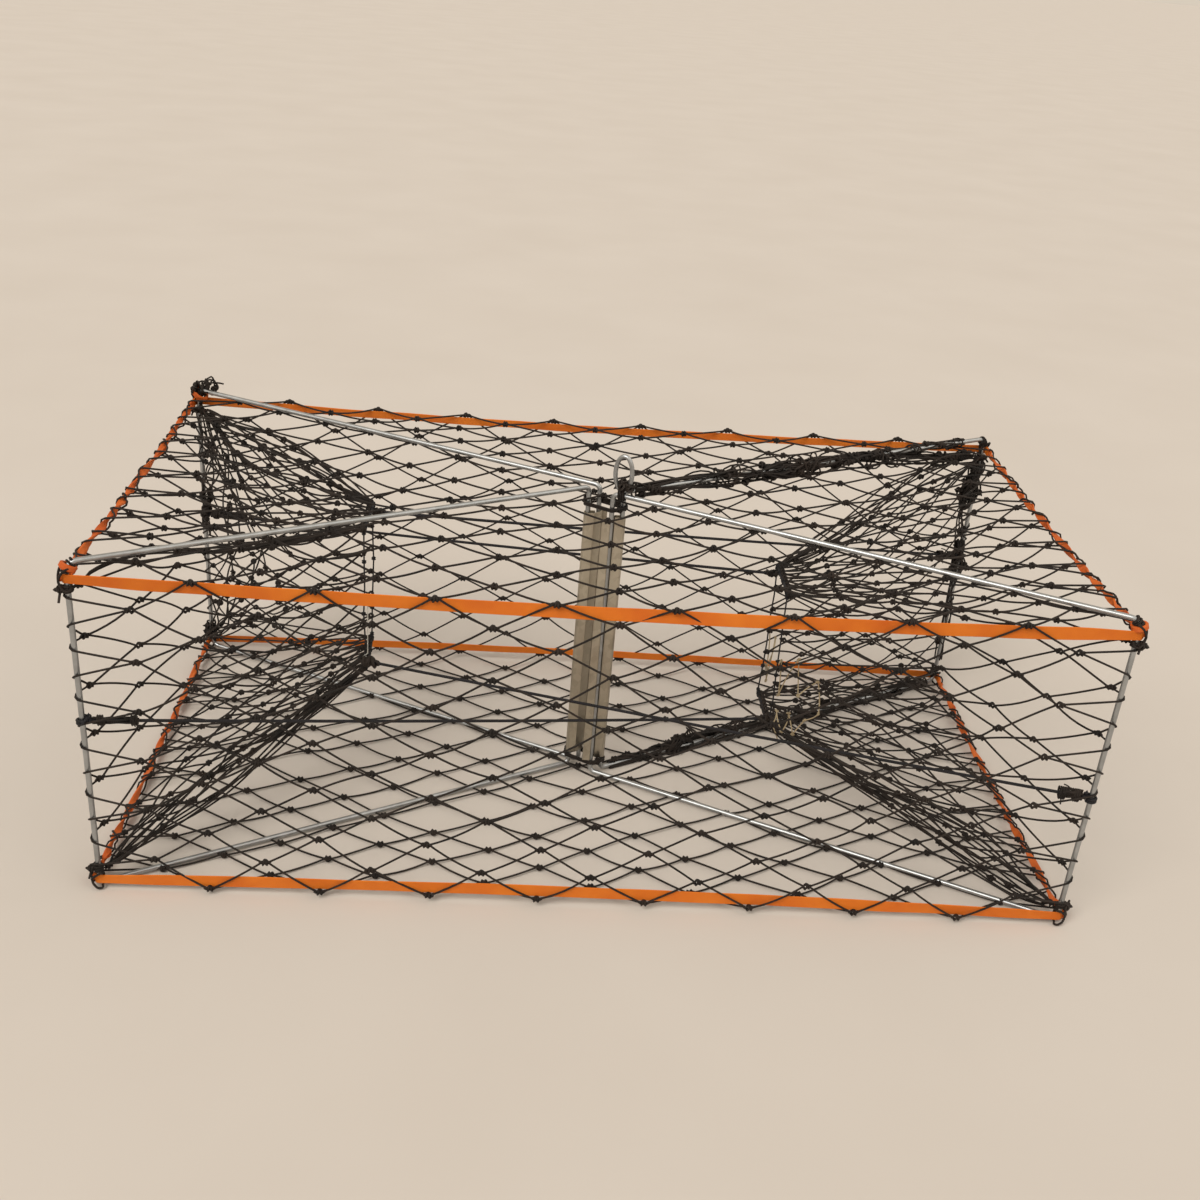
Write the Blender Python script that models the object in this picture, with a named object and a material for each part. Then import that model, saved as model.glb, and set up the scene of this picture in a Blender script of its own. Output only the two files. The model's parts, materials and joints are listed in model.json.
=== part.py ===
"""A folding crab trap: four wire arms on a two-part centre post, wrapped in tape and knotted net.

X runs along the long side, Y from the front to the back and Z up from the ground. Sizes are in
metres. The origin is under the post, at the level of the bottom net's underside.
"""

import math

import bmesh
import bpy
from mathutils import Vector

# The frame: where the corner uprights and the bars of the arms stand
LONG_SIDE = 0.900
SHORT_SIDE = 0.460
ARM_HEIGHT = 0.323
ARM_WIRE = 0.005
INNER_BEND = 0.006
OUTER_BEND = 0.010
TOUCH_GAP = 0.0003

# The post: two folded clasps of sheet that slide past each other, each on two arm uprights
SHEET = 0.001
HALVES_GAP = 0.0007
HEM_CLEARANCE = 0.00035
PAIR_SPACING = 0.0012
INNER_PIN_OFFSET = 0.006
OUTER_PIN_OFFSET = 0.017
CLASP_FOOT = 0.0156
CLASP_HEAD = 0.0264
HEM_FIRST_ANGLE = math.radians(240)
WEB_ANGLE = math.radians(45)
LIP_CLEARANCE = 0.001

# The lifting ring on the front right arm
RING_WIDTH = 0.022
RING_HEIGHT = 0.040
RING_WIRE = 0.0045
RING_OUT = 0.009
RING_TIE_TURNS = 2

# Knotted net: flat strands round diamond gaps, with a thicker strand round the edge
NET_THICKNESS = 0.0016
MESH_WIDTH = 0.190
MESH_HEIGHT = 0.112
STRAND = 0.0035
NET_BORDER = 0.006
SMALLEST_GAP_SHARE = 0.02
NET_END_INSET = 0.0075
TOP_NET_INSET = 0.003
TOP_NET_CORNER_CUT = 0.016

# Webbing tape round the top and the bottom
TAPE_WIDTH = 0.012
TAPE_THICKNESS = 0.001
TAPE_DROP = 0.0135
TAPE_RISE = 0.0056
TAPE_BOW = 0.006

# Funnels: a net tunnel from each end of the trap to a narrow throat
MOUTH_SIDE_INSET = 0.008
MOUTH_END_CLEARANCE = 0.001
FUNNEL_SEAM = 0.0012
THROAT_WIDTH = 0.070
LEFT_THROAT_X = -0.235
LEFT_THROAT_LOW = 0.130
LEFT_THROAT_HIGH = 0.285
RIGHT_THROAT_X = 0.190
RIGHT_THROAT_LOW = 0.085
RIGHT_THROAT_HIGH = 0.240
RIM_CORD = 0.003
RIM_CORNER = 0.006
RIM_SEAT = 0.0009

# Lashings and cords
TWINE = 0.0022
TURN_GAP = 0.00047
CORNER_TURNS = 2
CORNER_LASHING_SPACE = 0.0018
POST_TURNS = 2
TOP_LASHING_LIFT = 0.006
BOTTOM_LASHING_LIFT = 0.0012
TENSION_CORD = 0.003
CORD_SAG = 0.002
CORD_END_GAP = 0.0005
TIE_HEIGHT = 0.1775
FRONT_RIGHT_TIE_HEIGHT = 0.144
TIE_TURNS = 2
FRONT_LEFT_CORD_END = 0.095
FRONT_RIGHT_CORD_END = 0.140
BACK_LEFT_CORD_END = 0.230
BACK_RIGHT_CORD_END = 0.275

# Lacing at the throats and along the back right arm
LACING_TWINE = 0.0016
LACING_WAVES = 6
LACING_DEPTH = 0.030
LACING_START = 0.006
LACING_MARGIN = 0.012
THROAT_LINE = 0.001
THROAT_LINE_LENGTH = 0.066
THROAT_LINE_LIFT = 0.002
SEAM_CORD = 0.0032
SEAM_START = 0.062
SEAM_STOP = 0.025
SEAM_WAVE = 0.0006
SEAM_WAVES = 9

# How finely round things are drawn
BEND_STEPS = 5
HEM_STEPS = 6
RING_STEPS = 20
TAPE_STEPS = 12
CORD_STEPS = 8
WAVE_STEPS = 6
SEAM_WAVE_STEPS = 3
LASHING_STEPS = 8
TIE_STEPS = 8
POST_LASHING_STEPS = 16
RING_TIE_STEPS = 10
WIRE_ROUND_STEPS = 2
FORM_ROUND_STEPS = 1

# Places that follow from the sizes above
BAR_LOW = NET_THICKNESS + TOUCH_GAP + ARM_WIRE / 2
BAR_HIGH = BAR_LOW + ARM_HEIGHT
NEAR_ROW = HALVES_GAP / 2 + SHEET + HEM_CLEARANCE + ARM_WIRE / 2
FAR_ROW = NEAR_ROW + ARM_WIRE + PAIR_SPACING
CLASP_LOW = BAR_LOW + CLASP_FOOT
CLASP_HIGH = BAR_HIGH - CLASP_HEAD
TAPE_LOW = BAR_LOW + TAPE_RISE
TAPE_HIGH = BAR_HIGH - TAPE_DROP
UPRIGHT_FACE = ARM_WIRE / 2 + TOUCH_GAP
RING_FOOT = BAR_HIGH + ARM_WIRE / 2 + TOUCH_GAP + RING_WIRE / 2
MOUTH_X = LONG_SIDE / 2 + UPRIGHT_FACE - MOUTH_END_CLEARANCE
MOUTH_Y = SHORT_SIDE / 2 - MOUTH_SIDE_INSET

PINS = {
    "front_left": Vector((-OUTER_PIN_OFFSET, NEAR_ROW)),
    "back_left": Vector((-INNER_PIN_OFFSET, FAR_ROW)),
    "front_right": Vector((INNER_PIN_OFFSET, -FAR_ROW)),
    "back_right": Vector((OUTER_PIN_OFFSET, -NEAR_ROW)),
}
CORNERS = {
    "front_left": Vector((-LONG_SIDE / 2, -SHORT_SIDE / 2)),
    "back_left": Vector((-LONG_SIDE / 2, SHORT_SIDE / 2)),
    "front_right": Vector((LONG_SIDE / 2, -SHORT_SIDE / 2)),
    "back_right": Vector((LONG_SIDE / 2, SHORT_SIDE / 2)),
}
ARM_LENGTHS = {name: (CORNERS[name] - PINS[name]).length for name in PINS}
UPRIGHT_AXES = (Vector((1, 0, 0)), Vector((0, 1, 0)), Vector((0, 0, 1)))
BAR_AXES = (Vector((0, 1, 0)), Vector((0, 0, 1)), Vector((1, 0, 0)))


def clear_scene():
    for old in list(bpy.data.objects):
        bpy.data.objects.remove(old)


def finish(name, colour, roughness, metallic=0.0):
    """A material with its colour in linear values."""
    made = bpy.data.materials.new(name)
    made.use_nodes = True
    shader = made.node_tree.nodes["Principled BSDF"]
    shader.inputs["Base Color"].default_value = (*colour, 1.0)
    shader.inputs["Roughness"].default_value = roughness
    shader.inputs["Metallic"].default_value = metallic
    return made


def place(name, data, parent):
    """Puts a shape, or an empty where there is none, into the scene under its parent."""
    made = bpy.data.objects.new(name, data)
    bpy.context.scene.collection.objects.link(made)
    made.parent = parent
    return made


def tube(name, points, diameter, material, parent=None, closed=False, roundness=WIRE_ROUND_STEPS):
    """A round wire or cord along a line of points."""
    curve = bpy.data.curves.new(name, "CURVE")
    curve.dimensions = "3D"
    curve.bevel_depth = diameter / 2
    curve.bevel_resolution = roundness
    curve.use_fill_caps = not closed
    spline = curve.splines.new("POLY")
    spline.points.add(len(points) - 1)
    for target, point in zip(spline.points, points):
        target.co = (*point, 1.0)
    spline.use_cyclic_u = closed
    curve.materials.append(material)
    return place(name, curve, parent)


def solid(name, shape, material, parent=None):
    """An object from a finished bmesh, with its faces turned outwards."""
    bmesh.ops.recalc_face_normals(shape, faces=shape.faces)
    mesh = bpy.data.meshes.new(name)
    shape.to_mesh(mesh)
    shape.free()
    mesh.materials.append(material)
    return place(name, mesh, parent)


def strip(name, line, width, thickness, material, parent=None):
    """An upright strip of sheet or webbing, bent along a line of points at its middle height."""
    shape = bmesh.new()
    rings = []
    for index, point in enumerate(line):
        ahead = (line[min(index + 1, len(line) - 1)] - point).to_2d()
        behind = (point - line[max(index - 1, 0)]).to_2d()
        ahead = (ahead if ahead.length else behind).normalized()
        behind = (behind if behind.length else ahead).normalized()
        middle = (ahead + behind).normalized()
        side = Vector((-middle.y, middle.x, 0)) * (thickness / 2 / middle.dot(ahead))
        rise = Vector((0, 0, width / 2))
        section = (point + side - rise, point - side - rise, point - side + rise, point + side + rise)
        rings.append([shape.verts.new(corner) for corner in section])
    for ring, following in zip(rings, rings[1:]):
        for corner in range(4):
            beside = (corner + 1) % 4
            shape.faces.new((ring[corner], ring[beside], following[beside], following[corner]))
    shape.faces.new(rings[0])
    shape.faces.new(rings[-1])
    return solid(name, shape, material, parent)


def arc(centre, radius, first, last, steps):
    """Flat points along an arc, both ends included."""
    angles = [first + (last - first) * step / steps for step in range(steps + 1)]
    return [centre + radius * Vector((math.cos(angle), math.sin(angle))) for angle in angles]


def rounded_rectangle(left, right, low, high, radii):
    """Flat points of a rectangle with rounded corners, anticlockwise from the lower left one."""
    quarter = math.pi / 2
    corners = ((left, low, 1, 1), (right, low, -1, 1), (right, high, -1, -1), (left, high, 1, -1))
    points = []
    for index, (x, y, inward_x, inward_y) in enumerate(corners):
        radius = radii[index]
        centre = Vector((x + inward_x * radius, y + inward_y * radius))
        first = math.pi + index * quarter
        points += arc(centre, radius, first, first + quarter, BEND_STEPS)
    return points


def wind(name, wires, origin, axes, turns, steps, cord, material, parent=None):
    """One unbroken cord wound round a bundle of round wires, each given as (centre, radius)."""
    across, over, along = axes
    pitch = cord + TURN_GAP
    swell = 1 / math.cos(math.pi / steps)
    points = []
    for step in range(turns * steps + 1):
        angle = math.tau * step / steps
        out = Vector((math.cos(angle), math.sin(angle)))
        centre, radius = max(wires, key=lambda wire: wire[0].dot(out) + wire[1])
        reach = centre + out * (radius + TOUCH_GAP + cord / 2) * swell
        points.append(origin + across * reach.x + over * reach.y + along * (pitch * step / steps))
    first_end = points[0] + (points[0] - points[1]).normalized() * cord
    last_end = points[-1] + (points[-1] - points[-2]).normalized() * cord
    points = [first_end, *points, last_end]
    least = min(
        (points[later] - points[earlier]).length - cord
        for earlier in range(len(points))
        for later in range(earlier + steps // 2, len(points))
    )
    print(f"{name}: least gap between turns {least * 1000:.2f} mm")
    return tube(name, points, cord, material, parent, roundness=FORM_ROUND_STEPS)


def crossing(line, other):
    """The point where two flat lines cross, each given as (point, direction)."""
    (start, along), (other_start, other_along) = line, other
    share = (other_start - start).cross(other_along) / along.cross(other_along)
    return start + along * share


def inset(outline, margins):
    """A convex anticlockwise outline with each side moved inwards by its own margin."""
    lines = []
    for index, start in enumerate(outline):
        along = (outline[(index + 1) % len(outline)] - start).normalized()
        lines.append((start + Vector((-along.y, along.x)) * margins[index], along))
    return [crossing(lines[index - 1], lines[index]) for index in range(len(lines))]


def clip(polygon, outline):
    """The part of a convex polygon that lies inside a convex anticlockwise outline."""
    for index, start in enumerate(outline):
        along = outline[(index + 1) % len(outline)] - start
        kept = []
        for corner, point in enumerate(polygon):
            before = polygon[corner - 1]
            here = along.cross(point - start)
            there = along.cross(before - start)
            if here * there < 0:
                kept.append(before.lerp(point, there / (there - here)))
            if here >= 0:
                kept.append(point)
        polygon = kept
    return polygon


def area(polygon):
    return sum(polygon[index - 1].cross(point) for index, point in enumerate(polygon)) / 2


def diamonds(outline, mesh_centre):
    """The gaps of a net inside an outline: whole and half meshes about a gap at mesh_centre."""
    reach_x = max(abs(point.x - mesh_centre.x) for point in outline)
    reach_y = max(abs(point.y - mesh_centre.y) for point in outline)
    columns = max(1, round(reach_x / (MESH_WIDTH / 2)))
    rows = max(1, round(reach_y / (MESH_HEIGHT / 2)))
    half_width, half_height = reach_x / columns, reach_y / rows
    bar_distance = half_width * half_height / math.hypot(half_width, half_height)
    shrink = 1 - STRAND / 2 / bar_distance
    spokes = ((1, 0), (0, 1), (-1, 0), (0, -1))
    gaps = []
    for column in range(-columns, columns + 1):
        for row in range(-rows, rows + 1):
            if (column + row) % 2:
                continue
            centre = mesh_centre + Vector((column * half_width, row * half_height))
            corners = [
                centre + Vector((x * half_width, y * half_height)) * shrink for x, y in spokes
            ]
            gap = clip(corners, outline)
            if len(gap) > 2 and area(gap) > SMALLEST_GAP_SHARE * half_width * half_height * 2:
                gaps.append(gap)
    return gaps


def net(name, corners, across, material, margins=None, mesh_centre=None):
    """A flat piece of net between corners in one plane, half its thickness on each side of it."""
    origin = corners[0]
    normal = (corners[1] - origin).cross(corners[2] - origin).normalized()
    up = normal.cross(across)
    outline = [Vector(((c - origin).dot(across), (c - origin).dot(up))) for c in corners]
    outline = inset(outline, margins or [0] * len(outline))
    hole_edge = inset(outline, [NET_BORDER] * len(outline))
    if mesh_centre is None:
        mesh_centre = sum(outline, Vector((0, 0))) / len(outline)
    shape = bmesh.new()
    for loop in (outline, *diamonds(hole_edge, mesh_centre)):
        back = -normal * NET_THICKNESS / 2
        verts = [shape.verts.new(origin + across * p.x + up * p.y + back) for p in loop]
        for index, vert in enumerate(verts):
            shape.edges.new((verts[index - 1], vert))
    bmesh.ops.triangle_fill(shape, edges=shape.edges[:], use_beauty=True, normal=normal)
    raised = bmesh.ops.extrude_face_region(shape, geom=shape.faces[:])["geom"]
    raised = [item for item in raised if isinstance(item, bmesh.types.BMVert)]
    bmesh.ops.translate(shape, verts=raised, vec=normal * NET_THICKNESS)
    return solid(name, shape, material)


def make_post(galvanised):
    """Two sheet clasps, one turned half round; the empties mark their slides."""
    hem = ARM_WIRE / 2 + HEM_CLEARANCE + SHEET / 2
    inner, outer = PINS["front_right"], PINS["back_right"]
    web = outer.y + hem
    line = arc(inner, hem, HEM_FIRST_ANGLE, math.pi / 2 + WEB_ANGLE, HEM_STEPS)
    rise = web - line[-1].y
    line.append(Vector((line[-1].x + rise / math.tan(WEB_ANGLE), web)))
    line += arc(outer, hem, math.pi / 2, -math.pi / 2, HEM_STEPS)
    line.append(Vector((inner.x + ARM_WIRE / 2 + LIP_CLEARANCE, outer.y - hem)))
    middle = (CLASP_LOW + CLASP_HIGH) / 2
    line = [Vector((*point, middle)) for point in line]
    slides = {side: place(side + "_slide", None, None) for side in ("left", "right")}
    right = strip("right_clasp", line, CLASP_HIGH - CLASP_LOW, SHEET, galvanised, slides["right"])
    left = place("left_clasp", right.data, slides["left"])
    left.rotation_euler.z = math.pi
    return slides


def make_arms(slides, wire_finish):
    """Four closed wire rectangles, each drawn along its own X from the axis of its inner upright."""
    hinges = {}
    radii = (INNER_BEND, OUTER_BEND, OUTER_BEND, INNER_BEND)
    for name, pin in PINS.items():
        reach = CORNERS[name] - pin
        hinge = place(name + "_hinge", None, slides[name.split("_")[1]])
        hinge.location = (*pin, 0)
        hinge.rotation_euler.z = math.atan2(reach.y, reach.x)
        loop = rounded_rectangle(0, ARM_LENGTHS[name], BAR_LOW, BAR_HIGH, radii)
        points = [(x, 0, z) for x, z in loop]
        tube(name + "_arm", points, ARM_WIRE, wire_finish, hinge, closed=True)
        hinges[name] = hinge
    return hinges


def make_ring(hinge, wire_finish, twine):
    """An upright oval ring that stands on the front right arm's top bar, tied down with twine."""
    pivot = place("ring_pivot", None, hinge)
    pivot.location = (RING_OUT, 0, RING_FOOT)
    half_width = (RING_WIDTH - RING_WIRE) / 2
    half_height = (RING_HEIGHT - RING_WIRE) / 2
    points = []
    for step in range(RING_STEPS):
        angle = math.tau * step / RING_STEPS
        points.append((half_width * math.sin(angle), 0, half_height * (1 - math.cos(angle))))
    tube("lifting_ring", points, RING_WIRE, wire_finish, pivot, closed=True)

    half_span = RING_TIE_TURNS * (TWINE + TURN_GAP) / 2
    lift = half_height * (1 - math.sqrt(1 - ((half_span + TWINE / 2) / half_width) ** 2))
    wires = (
        (Vector((0, BAR_HIGH)), ARM_WIRE / 2),
        (Vector((0, RING_FOOT)), RING_WIRE / 2),
        (Vector((0, RING_FOOT + lift)), RING_WIRE / 2),
    )
    origin = Vector((RING_OUT - half_span, 0, 0))
    wind("ring_tie", wires, origin, BAR_AXES, RING_TIE_TURNS, RING_TIE_STEPS, TWINE, twine, hinge)


def make_corner_lashings(hinges, twine):
    """Twine round each corner upright, against the tapes: below the top and above the bottom one."""
    height = CORNER_TURNS * (TWINE + TURN_GAP)
    room = TAPE_WIDTH / 2 + CORNER_LASHING_SPACE
    starts = {"top": TAPE_HIGH - room - height, "bottom": TAPE_LOW + room}
    for name, hinge in hinges.items():
        wires = [(Vector((ARM_LENGTHS[name], 0)), ARM_WIRE / 2)]
        for level, start in starts.items():
            origin = Vector((0, 0, start))
            label = f"{name}_{level}_lashing"
            wind(label, wires, origin, UPRIGHT_AXES, CORNER_TURNS, LASHING_STEPS, TWINE, twine, hinge)


def make_post_lashings(twine):
    """Twine round all four uprights of the post, above and below the clasps."""
    wires = [(pin, ARM_WIRE / 2) for pin in PINS.values()]
    height = POST_TURNS * (TWINE + TURN_GAP)
    starts = {
        "post_top_lashing": CLASP_HIGH + TOP_LASHING_LIFT,
        "post_bottom_lashing": CLASP_LOW - BOTTOM_LASHING_LIFT - TWINE / 2 - height,
    }
    for name, start in starts.items():
        origin = Vector((0, 0, start))
        wind(name, wires, origin, UPRIGHT_AXES, POST_TURNS, POST_LASHING_STEPS, TWINE, twine)


def make_tapes(webbing):
    """Eight runs of flat webbing round the corner uprights; the long runs bow a little in the middle."""
    side = SHORT_SIDE / 2 + UPRIGHT_FACE + TAPE_THICKNESS / 2
    end = LONG_SIDE / 2 + UPRIGHT_FACE + TAPE_THICKNESS / 2
    long_reach = end + TAPE_THICKNESS / 2
    short_reach = side - TAPE_THICKNESS / 2 - TOUCH_GAP
    shares = [2 * step / TAPE_STEPS - 1 for step in range(TAPE_STEPS + 1)]
    for level, height, bow in (("top", TAPE_HIGH, -TAPE_BOW), ("bottom", TAPE_LOW, TAPE_BOW)):
        for face, y in (("front", -side), ("back", side)):
            line = [Vector((long_reach * t, y, height + bow * (1 - t * t))) for t in shares]
            strip(f"{level}_tape_{face}", line, TAPE_WIDTH, TAPE_THICKNESS, webbing)
        for face, x in (("left", -end), ("right", end)):
            line = [Vector((x, short_reach * t, height)) for t in (-1, 0, 1)]
            strip(f"{level}_tape_{face}", line, TAPE_WIDTH, TAPE_THICKNESS, webbing)


def make_flat_nets(netting):
    """Front, back, top and bottom nets. The post stands in the middle gap of the top net."""
    half = NET_THICKNESS / 2
    along_x = Vector((1, 0, 0))
    under_bars = BAR_HIGH - ARM_WIRE / 2 - TOUCH_GAP - half
    wide = LONG_SIDE / 2 + ARM_WIRE / 2
    deep = SHORT_SIDE / 2 + ARM_WIRE / 2
    bottom = [Vector((x * wide, y * deep, half)) for x, y in ((-1, -1), (1, -1), (1, 1), (-1, 1))]
    net("bottom_net", bottom, along_x, netting)

    wide = LONG_SIDE / 2 - TOP_NET_INSET
    cut = TOP_NET_CORNER_CUT
    quarter = [Vector((wide, deep - cut)), Vector((wide - cut, deep))]
    top = quarter + [Vector((-p.x, p.y)) for p in reversed(quarter)]
    top += [-p for p in top]
    top = [Vector((*p, under_bars)) for p in top]
    middle = Vector((-top[0].x, -top[0].y))
    net("top_net", top, along_x, netting, mesh_centre=middle)

    low = NET_THICKNESS + TOUCH_GAP
    high = under_bars - half - TOUCH_GAP
    wide = LONG_SIDE / 2 - NET_END_INSET
    for name, y in (("front_net", half - deep), ("back_net", deep - half)):
        corners = ((-wide, low), (wide, low), (wide, high), (-wide, high))
        net(name, [Vector((x, y, z)) for x, z in corners], along_x, netting)


def make_funnel(side, throat_x, throat_low, throat_high, netting, cord):
    """Four net panels from the end of the trap to the throat, and the cord round the throat."""
    outward = math.copysign(1, throat_x)
    throat_y = THROAT_WIDTH / 2
    mouth = {}
    throat = {}
    for face, sign in (("front", -1), ("back", 1)):
        for level, height, narrow in (("low", TAPE_LOW, throat_low), ("high", TAPE_HIGH, throat_high)):
            mouth[face, level] = Vector((outward * MOUTH_X, sign * MOUTH_Y, height))
            throat[face, level] = Vector((throat_x, sign * throat_y, narrow))
    panels = {
        "top": (("front", "high"), ("back", "high")),
        "bottom": (("front", "low"), ("back", "low")),
        "front": (("front", "low"), ("front", "high")),
        "back": (("back", "low"), ("back", "high")),
    }
    margins = (0, FUNNEL_SEAM, 0, FUNNEL_SEAM)
    for face, (first, second) in panels.items():
        corners = (mouth[first], mouth[second], throat[second], throat[first])
        edge = (mouth[second] - mouth[first]).normalized()
        inward = throat[first] - mouth[first]
        inward = (inward - edge * inward.dot(edge)).normalized()
        across = edge if face in ("top", "bottom") else inward
        net(f"{side}_funnel_{face}", corners, across, netting, margins)

    rim_x = throat_x - outward * (RIM_CORD / 2 + RIM_SEAT)
    radii = (RIM_CORNER,) * 4
    loop = rounded_rectangle(-throat_y, throat_y, throat_low, throat_high, radii)
    points = [(rim_x, y, z) for y, z in loop]
    tube(side + "_throat_rim", points, RIM_CORD, cord, closed=True, roundness=FORM_ROUND_STEPS)
    return rim_x


def make_cords(rims, hinges, cord):
    """A cord from each corner upright to the throat of the other end, with its turns round the upright."""
    stand_off = UPRIGHT_FACE + TENSION_CORD / 2
    tie_reach = (stand_off / math.cos(math.pi / TIE_STEPS)) + TENSION_CORD / 2 + CORD_END_GAP
    routes = {
        "front_left": (TIE_HEIGHT, "right", FRONT_LEFT_CORD_END),
        "front_right": (FRONT_RIGHT_TIE_HEIGHT, "left", FRONT_RIGHT_CORD_END),
        "back_left": (TIE_HEIGHT, "right", BACK_LEFT_CORD_END),
        "back_right": (TIE_HEIGHT, "left", BACK_RIGHT_CORD_END),
    }
    for name, (tie_height, throat, height) in routes.items():
        wires = [(Vector((ARM_LENGTHS[name], 0)), ARM_WIRE / 2)]
        origin = Vector((0, 0, tie_height - TIE_TURNS * (TENSION_CORD + TURN_GAP) / 2))
        label = name + "_cord_tie"
        wind(label, wires, origin, UPRIGHT_AXES, TIE_TURNS, TIE_STEPS, TENSION_CORD, cord, hinges[name])

        corner = CORNERS[name]
        tied = Vector((*corner, tie_height))
        held = Vector((rims[throat], math.copysign(THROAT_WIDTH / 2, corner.y), height))
        along = (held - tied).normalized()
        first = tied + along * tie_reach
        last = held - along * (RIM_CORD / 2 + CORD_END_GAP)
        points = []
        for step in range(CORD_STEPS + 1):
            share = step / CORD_STEPS
            sag = Vector((0, 0, 4 * CORD_SAG * share * (1 - share)))
            points.append(first.lerp(last, share) - sag)
        tube(name + "_cord", points, TENSION_CORD, cord)


def make_throat_details(rims, cream_twine, clear_line):
    """Cream lacing on the right funnel's front panel by the throat, and clear line at the left throat."""
    throat_y = THROAT_WIDTH / 2
    throat = Vector((RIGHT_THROAT_X, -throat_y, 0))
    back = (Vector((MOUTH_X, -MOUTH_Y, 0)) - throat).normalized()
    outward = Vector((back.y, -back.x, 0))
    seat = outward * (NET_THICKNESS / 2 + TOUCH_GAP + LACING_TWINE / 2)
    low = RIGHT_THROAT_LOW + LACING_MARGIN
    high = RIGHT_THROAT_HIGH - LACING_MARGIN
    steps = LACING_WAVES * WAVE_STEPS
    points = []
    for step in range(steps + 1):
        depth = LACING_START + LACING_DEPTH * (1 - math.cos(math.tau * step / WAVE_STEPS)) / 2
        height = low + (high - low) * step / steps
        points.append(throat + back * depth + seat + Vector((0, 0, height)))
    tube("throat_lacing", points, LACING_TWINE, cream_twine, roundness=FORM_ROUND_STEPS)

    line_x = rims["left"] + RIM_CORD / 2 + TOUCH_GAP + THROAT_LINE / 2
    low = FRONT_RIGHT_CORD_END + TENSION_CORD / 2 + THROAT_LINE_LIFT
    points = [(line_x, -throat_y, low), (line_x, -throat_y, low + THROAT_LINE_LENGTH)]
    tube("throat_line", points, THROAT_LINE, clear_line, roundness=FORM_ROUND_STEPS)


def make_seams(hinge, twine):
    """Net laced to the back right arm's bars: a cord that waves a little beside each bar."""
    last = ARM_LENGTHS["back_right"] - SEAM_STOP
    beside = UPRIGHT_FACE + SEAM_CORD / 2 + SEAM_WAVE
    steps = SEAM_WAVES * SEAM_WAVE_STEPS
    for name, height in (("top_seam_lacing", BAR_HIGH), ("bottom_seam_lacing", BAR_LOW)):
        points = []
        for step in range(steps + 1):
            x = SEAM_START + (last - SEAM_START) * step / steps
            wave = SEAM_WAVE * math.sin(math.tau * step / SEAM_WAVE_STEPS)
            points.append((x, beside + wave, height))
        tube(name, points, SEAM_CORD, twine, hinge, roundness=FORM_ROUND_STEPS)


clear_scene()
galvanised_wire = finish("galvanised_wire", (0.42, 0.42, 0.41), 0.38, 1.0)
galvanised_sheet = finish("galvanised_sheet", (0.50, 0.46, 0.38), 0.35, 1.0)
black_twine = finish("black_twine", (0.012, 0.012, 0.014), 0.75)
black_netting = finish("black_netting", (0.014, 0.013, 0.016), 0.7)
black_cord = finish("black_cord", (0.016, 0.016, 0.018), 0.6)
orange_webbing = finish("orange_webbing", (0.80, 0.11, 0.012), 0.7)
cream_lacing = finish("cream_lacing", (0.62, 0.54, 0.40), 0.8)
clear_nylon = finish("clear_nylon", (0.72, 0.74, 0.72), 0.2)

clasp_slides = make_post(galvanised_sheet)
arm_hinges = make_arms(clasp_slides, galvanised_wire)
make_ring(arm_hinges["front_right"], galvanised_wire, black_twine)
make_corner_lashings(arm_hinges, black_twine)
make_post_lashings(black_twine)
make_tapes(orange_webbing)
make_flat_nets(black_netting)
throat_rims = {
    "left": make_funnel(
        "left", LEFT_THROAT_X, LEFT_THROAT_LOW, LEFT_THROAT_HIGH, black_netting, black_cord
    ),
    "right": make_funnel(
        "right", RIGHT_THROAT_X, RIGHT_THROAT_LOW, RIGHT_THROAT_HIGH, black_netting, black_cord
    ),
}
make_cords(throat_rims, arm_hinges, black_cord)
make_throat_details(throat_rims, cream_lacing, clear_nylon)
make_seams(arm_hinges["back_right"], black_twine)
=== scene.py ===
"""The looks of a folding crab trap: wire arms on a sheet metal post, in a cover of knotted black net."""

import json
import math
from functools import partial

import bmesh
import bpy
import numpy as np
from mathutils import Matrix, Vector, noise

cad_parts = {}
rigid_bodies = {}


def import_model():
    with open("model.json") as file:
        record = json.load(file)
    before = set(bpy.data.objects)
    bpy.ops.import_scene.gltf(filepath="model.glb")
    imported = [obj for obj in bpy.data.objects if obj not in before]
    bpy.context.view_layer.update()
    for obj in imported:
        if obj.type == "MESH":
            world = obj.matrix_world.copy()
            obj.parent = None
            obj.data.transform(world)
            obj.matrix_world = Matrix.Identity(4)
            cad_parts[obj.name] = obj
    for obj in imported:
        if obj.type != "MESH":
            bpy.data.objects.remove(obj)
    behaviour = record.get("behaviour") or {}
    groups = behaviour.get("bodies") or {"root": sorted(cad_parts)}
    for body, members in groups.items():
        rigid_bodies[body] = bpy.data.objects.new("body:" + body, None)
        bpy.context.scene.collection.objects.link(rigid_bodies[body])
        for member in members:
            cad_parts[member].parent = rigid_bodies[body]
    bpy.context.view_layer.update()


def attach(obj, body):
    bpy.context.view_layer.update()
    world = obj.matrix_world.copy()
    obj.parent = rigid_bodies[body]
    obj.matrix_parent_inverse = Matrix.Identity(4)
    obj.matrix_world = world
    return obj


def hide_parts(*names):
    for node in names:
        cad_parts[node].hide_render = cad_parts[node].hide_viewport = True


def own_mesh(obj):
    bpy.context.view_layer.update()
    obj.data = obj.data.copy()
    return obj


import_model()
bpy.ops.object.select_all(action="DESELECT")


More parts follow.
